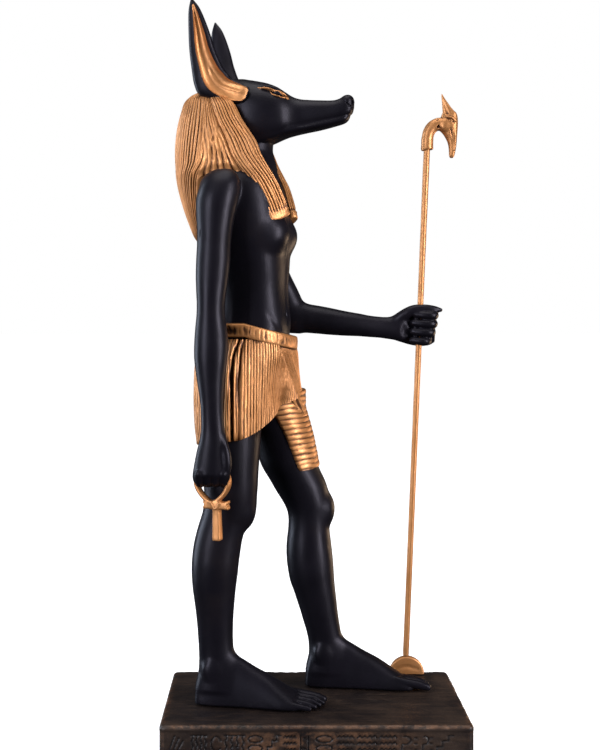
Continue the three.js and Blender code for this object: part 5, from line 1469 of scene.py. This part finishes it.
known = [stored(p) for p in parts if p is not skull and p is not cross]
for p in parts:
    print("part", p.name, count(p))
    boolean(figure, p)
thin(figure, 194000)
print("figure triangles", count(figure))
# carry the parts' painted shade values over to the joined figure
pts, vals = np.concatenate([k[0] for k in known]), np.concatenate([k[1] for k in known])
kd = KDTree(len(pts))
for i, q in enumerate(pts):
    kd.insert(q, i)
kd.balance()
me = figure.data
if "hollow_shade_wash" in me.attributes:
    me.attributes.remove(me.attributes["hollow_shade_wash"])
att = me.attributes.new("hollow_shade_wash", "FLOAT", "POINT")
got = np.zeros(len(me.vertices), np.float32)
for v in me.vertices:
    q, i, d = kd.find(v.co)
    if d < 0.35 * MM:
        got[v.index] = vals[i]
att.data.foreach_set("value", got)
figure.data.polygons.foreach_set("use_smooth", np.ones(len(figure.data.polygons), bool))

head = make("staff_finial", staff_head().surface(), [GOLD_R])
thin(head, 26000)
rod = make("staff_bar", rod_mesh(), [GOLD_R])
base = make("staff_base", staff_foot().surface(), [GOLD_R])
thin(base, 9000)
mesh, shade_wash, worn = plinth()
block = make("plinth_block", mesh, [PLINTH], None, shade_wash)
w = block.data.attributes.new("worn", "FLOAT", "POINT")
w.data.foreach_set("value", worn.astype(np.float32))
print("plinth triangles", count(block), "head", count(head), "base", count(base))


def shade(o, angle=40):
    """Keeps hard edges hard and the rest smooth."""
    o.data.polygons.foreach_set("use_smooth", np.ones(len(o.data.polygons), bool))
    o.data.set_sharp_from_angle(angle=angle * D2R)


shade(figure, 62)
shade(head, 60)
shade(base, 50)
shade(block, 60)
shade(rod, 60)


def add_hollow_shade(o, strength=1.0, radius=3):
    """Painted shade in hollows, from the mesh's own curvature, added to what is already stored."""
    me = o.data
    n = len(me.vertices)
    co = np.empty(n * 3)
    me.vertices.foreach_get("co", co)
    co = co.reshape(-1, 3) / MM
    no = np.empty(n * 3)
    me.vertices.foreach_get("normal", no)
    no = no.reshape(-1, 3)
    e = np.empty(len(me.edges) * 2, np.int32)
    me.edges.foreach_get("vertices", e)
    e = e.reshape(-1, 2)
    d = co[e[:, 1]] - co[e[:, 0]]
    L = np.linalg.norm(d, axis=1) + 1e-9
    k = (no[e[:, 1]] - no[e[:, 0]])
    curv = (k * d).sum(1) / L ** 2
    acc, cnt = np.zeros(n), np.zeros(n)
    for j in (0, 1):
        np.add.at(acc, e[:, j], curv)
        np.add.at(cnt, e[:, j], 1)
    acc /= np.maximum(cnt, 1)
    for _ in range(radius):
        s, c = acc.copy(), np.ones(n)
        for a, b in ((0, 1), (1, 0)):
            np.add.at(s, e[:, a], acc[e[:, b]])
            np.add.at(c, e[:, a], 1)
        acc = s / c
    att = me.attributes["hollow_shade_wash"]
    v = np.empty(n, np.float32)
    att.data.foreach_get("value", v)
    v = np.clip(v + strength * np.clip(-acc, 0, 1.5), 0, 1)
    att.data.foreach_set("value", v.astype(np.float32))


add_hollow_shade(head, 1.1)
add_hollow_shade(base, 0.8)

for o, node, slot in ((figure, "figure", "black_lacquer"), (block, "plinth", "plinth_paint"), (rod, "staff_rod", "gold_rod"), (head, "staff_head", "gold_paint"), (base, "staff_foot", "gold_paint")):
    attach(o, "root")
    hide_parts(node)

# ------------------------------------------------------------------ floor, light, camera
bpy.ops.mesh.primitive_plane_add(size=30, location=(0, 0, 0))
floor = bpy.context.object
floor.name = "floor"
fm, nt, p = material("pale_floor")
p.inputs["Base Color"].default_value = (0.90, 0.90, 0.90, 1)
p.inputs["Roughness"].default_value = 0.9
p.inputs["Specular IOR Level"].default_value = 0.1
p.inputs["Emission Color"].default_value = (1, 1, 1, 1)
g = Nodes(nt)
far = nt.nodes.new("ShaderNodeVectorMath")
far.operation = "LENGTH"
g.link(g.geo, far.inputs[0])
g.link(g.ramp(far.outputs["Value"], [(0.10, 0.55), (0.9, 1.0)], True), p.inputs["Emission Strength"])
floor.data.materials.append(fm)
floor.visible_glossy = False
floor.visible_diffuse = False


def area(name, where, size, power, colour, aim=(-0.01, 0, 0.16)):
    L = bpy.data.lights.new(name, "AREA")
    L.shape, L.size, L.size_y = "RECTANGLE", size[0], size[1]
    L.energy, L.color = power, colour
    o = bpy.data.objects.new(name, L)
    o.location = where
    o.rotation_euler = (Vector(where) - Vector(aim)).to_track_quat("Z", "Y").to_euler()
    o.visible_camera = False
    bpy.context.scene.collection.objects.link(o)
    return o


area("right_box", (0.735, -0.50, 0.30), (0.16, 0.75), 12.0, (0.97, 0.95, 1.0))
area("left_box", (-0.60, -0.68, 0.33), (0.26, 0.75), 7.5, (0.88, 0.90, 1.0))
area("left_rim", (-0.80, 0.25, 0.30), (0.35, 0.8), 7.0, (0.75, 0.85, 1.0))
area("right_rim", (0.60, 0.45, 0.06), (0.4, 0.25), 1.6, (1.0, 0.70, 0.45))
area("top", (0.0, -0.1, 1.0), (0.7, 0.7), 5.0, (1.0, 0.98, 0.96))

world = bpy.data.worlds.new("studio")
bpy.context.scene.world = world
world.use_nodes = True
wt = world.node_tree
wt.nodes.clear()
wo = wt.nodes.new("ShaderNodeOutputWorld")
bg = wt.nodes.new("ShaderNodeBackground")
bg.inputs[0].default_value = (1.0, 1.0, 1.0, 1)
bg.inputs[1].default_value = 1.0
dim = wt.nodes.new("ShaderNodeBackground")
dim.inputs[0].default_value = (0.9, 0.9, 1.0, 1)
dim.inputs[1].default_value = 0.04
path = wt.nodes.new("ShaderNodeLightPath")
pick = wt.nodes.new("ShaderNodeMixShader")
wt.links.new(path.outputs["Is Camera Ray"], pick.inputs[0])
wt.links.new(dim.outputs[0], pick.inputs[1])
wt.links.new(bg.outputs[0], pick.inputs[2])
wt.links.new(pick.outputs[0], wo.inputs[0])

cam = bpy.data.cameras.new("camera")
cam.sensor_width = 36
cam.lens = 1100 / 750 * 36
cam.shift_x = (300 - 271.4) / 750
cam.shift_y = -(375 - 322) / 750
cam.clip_start, cam.clip_end = 0.01, 50
co = bpy.data.objects.new("camera", cam)
co.location = (-17.2 * MM, -450.7 * MM, 177.4 * MM)
co.rotation_euler = (math.pi / 2, 0, 0)
bpy.context.scene.collection.objects.link(co)
bpy.context.scene.camera = co
bpy.context.scene.view_settings.view_transform = "Standard"
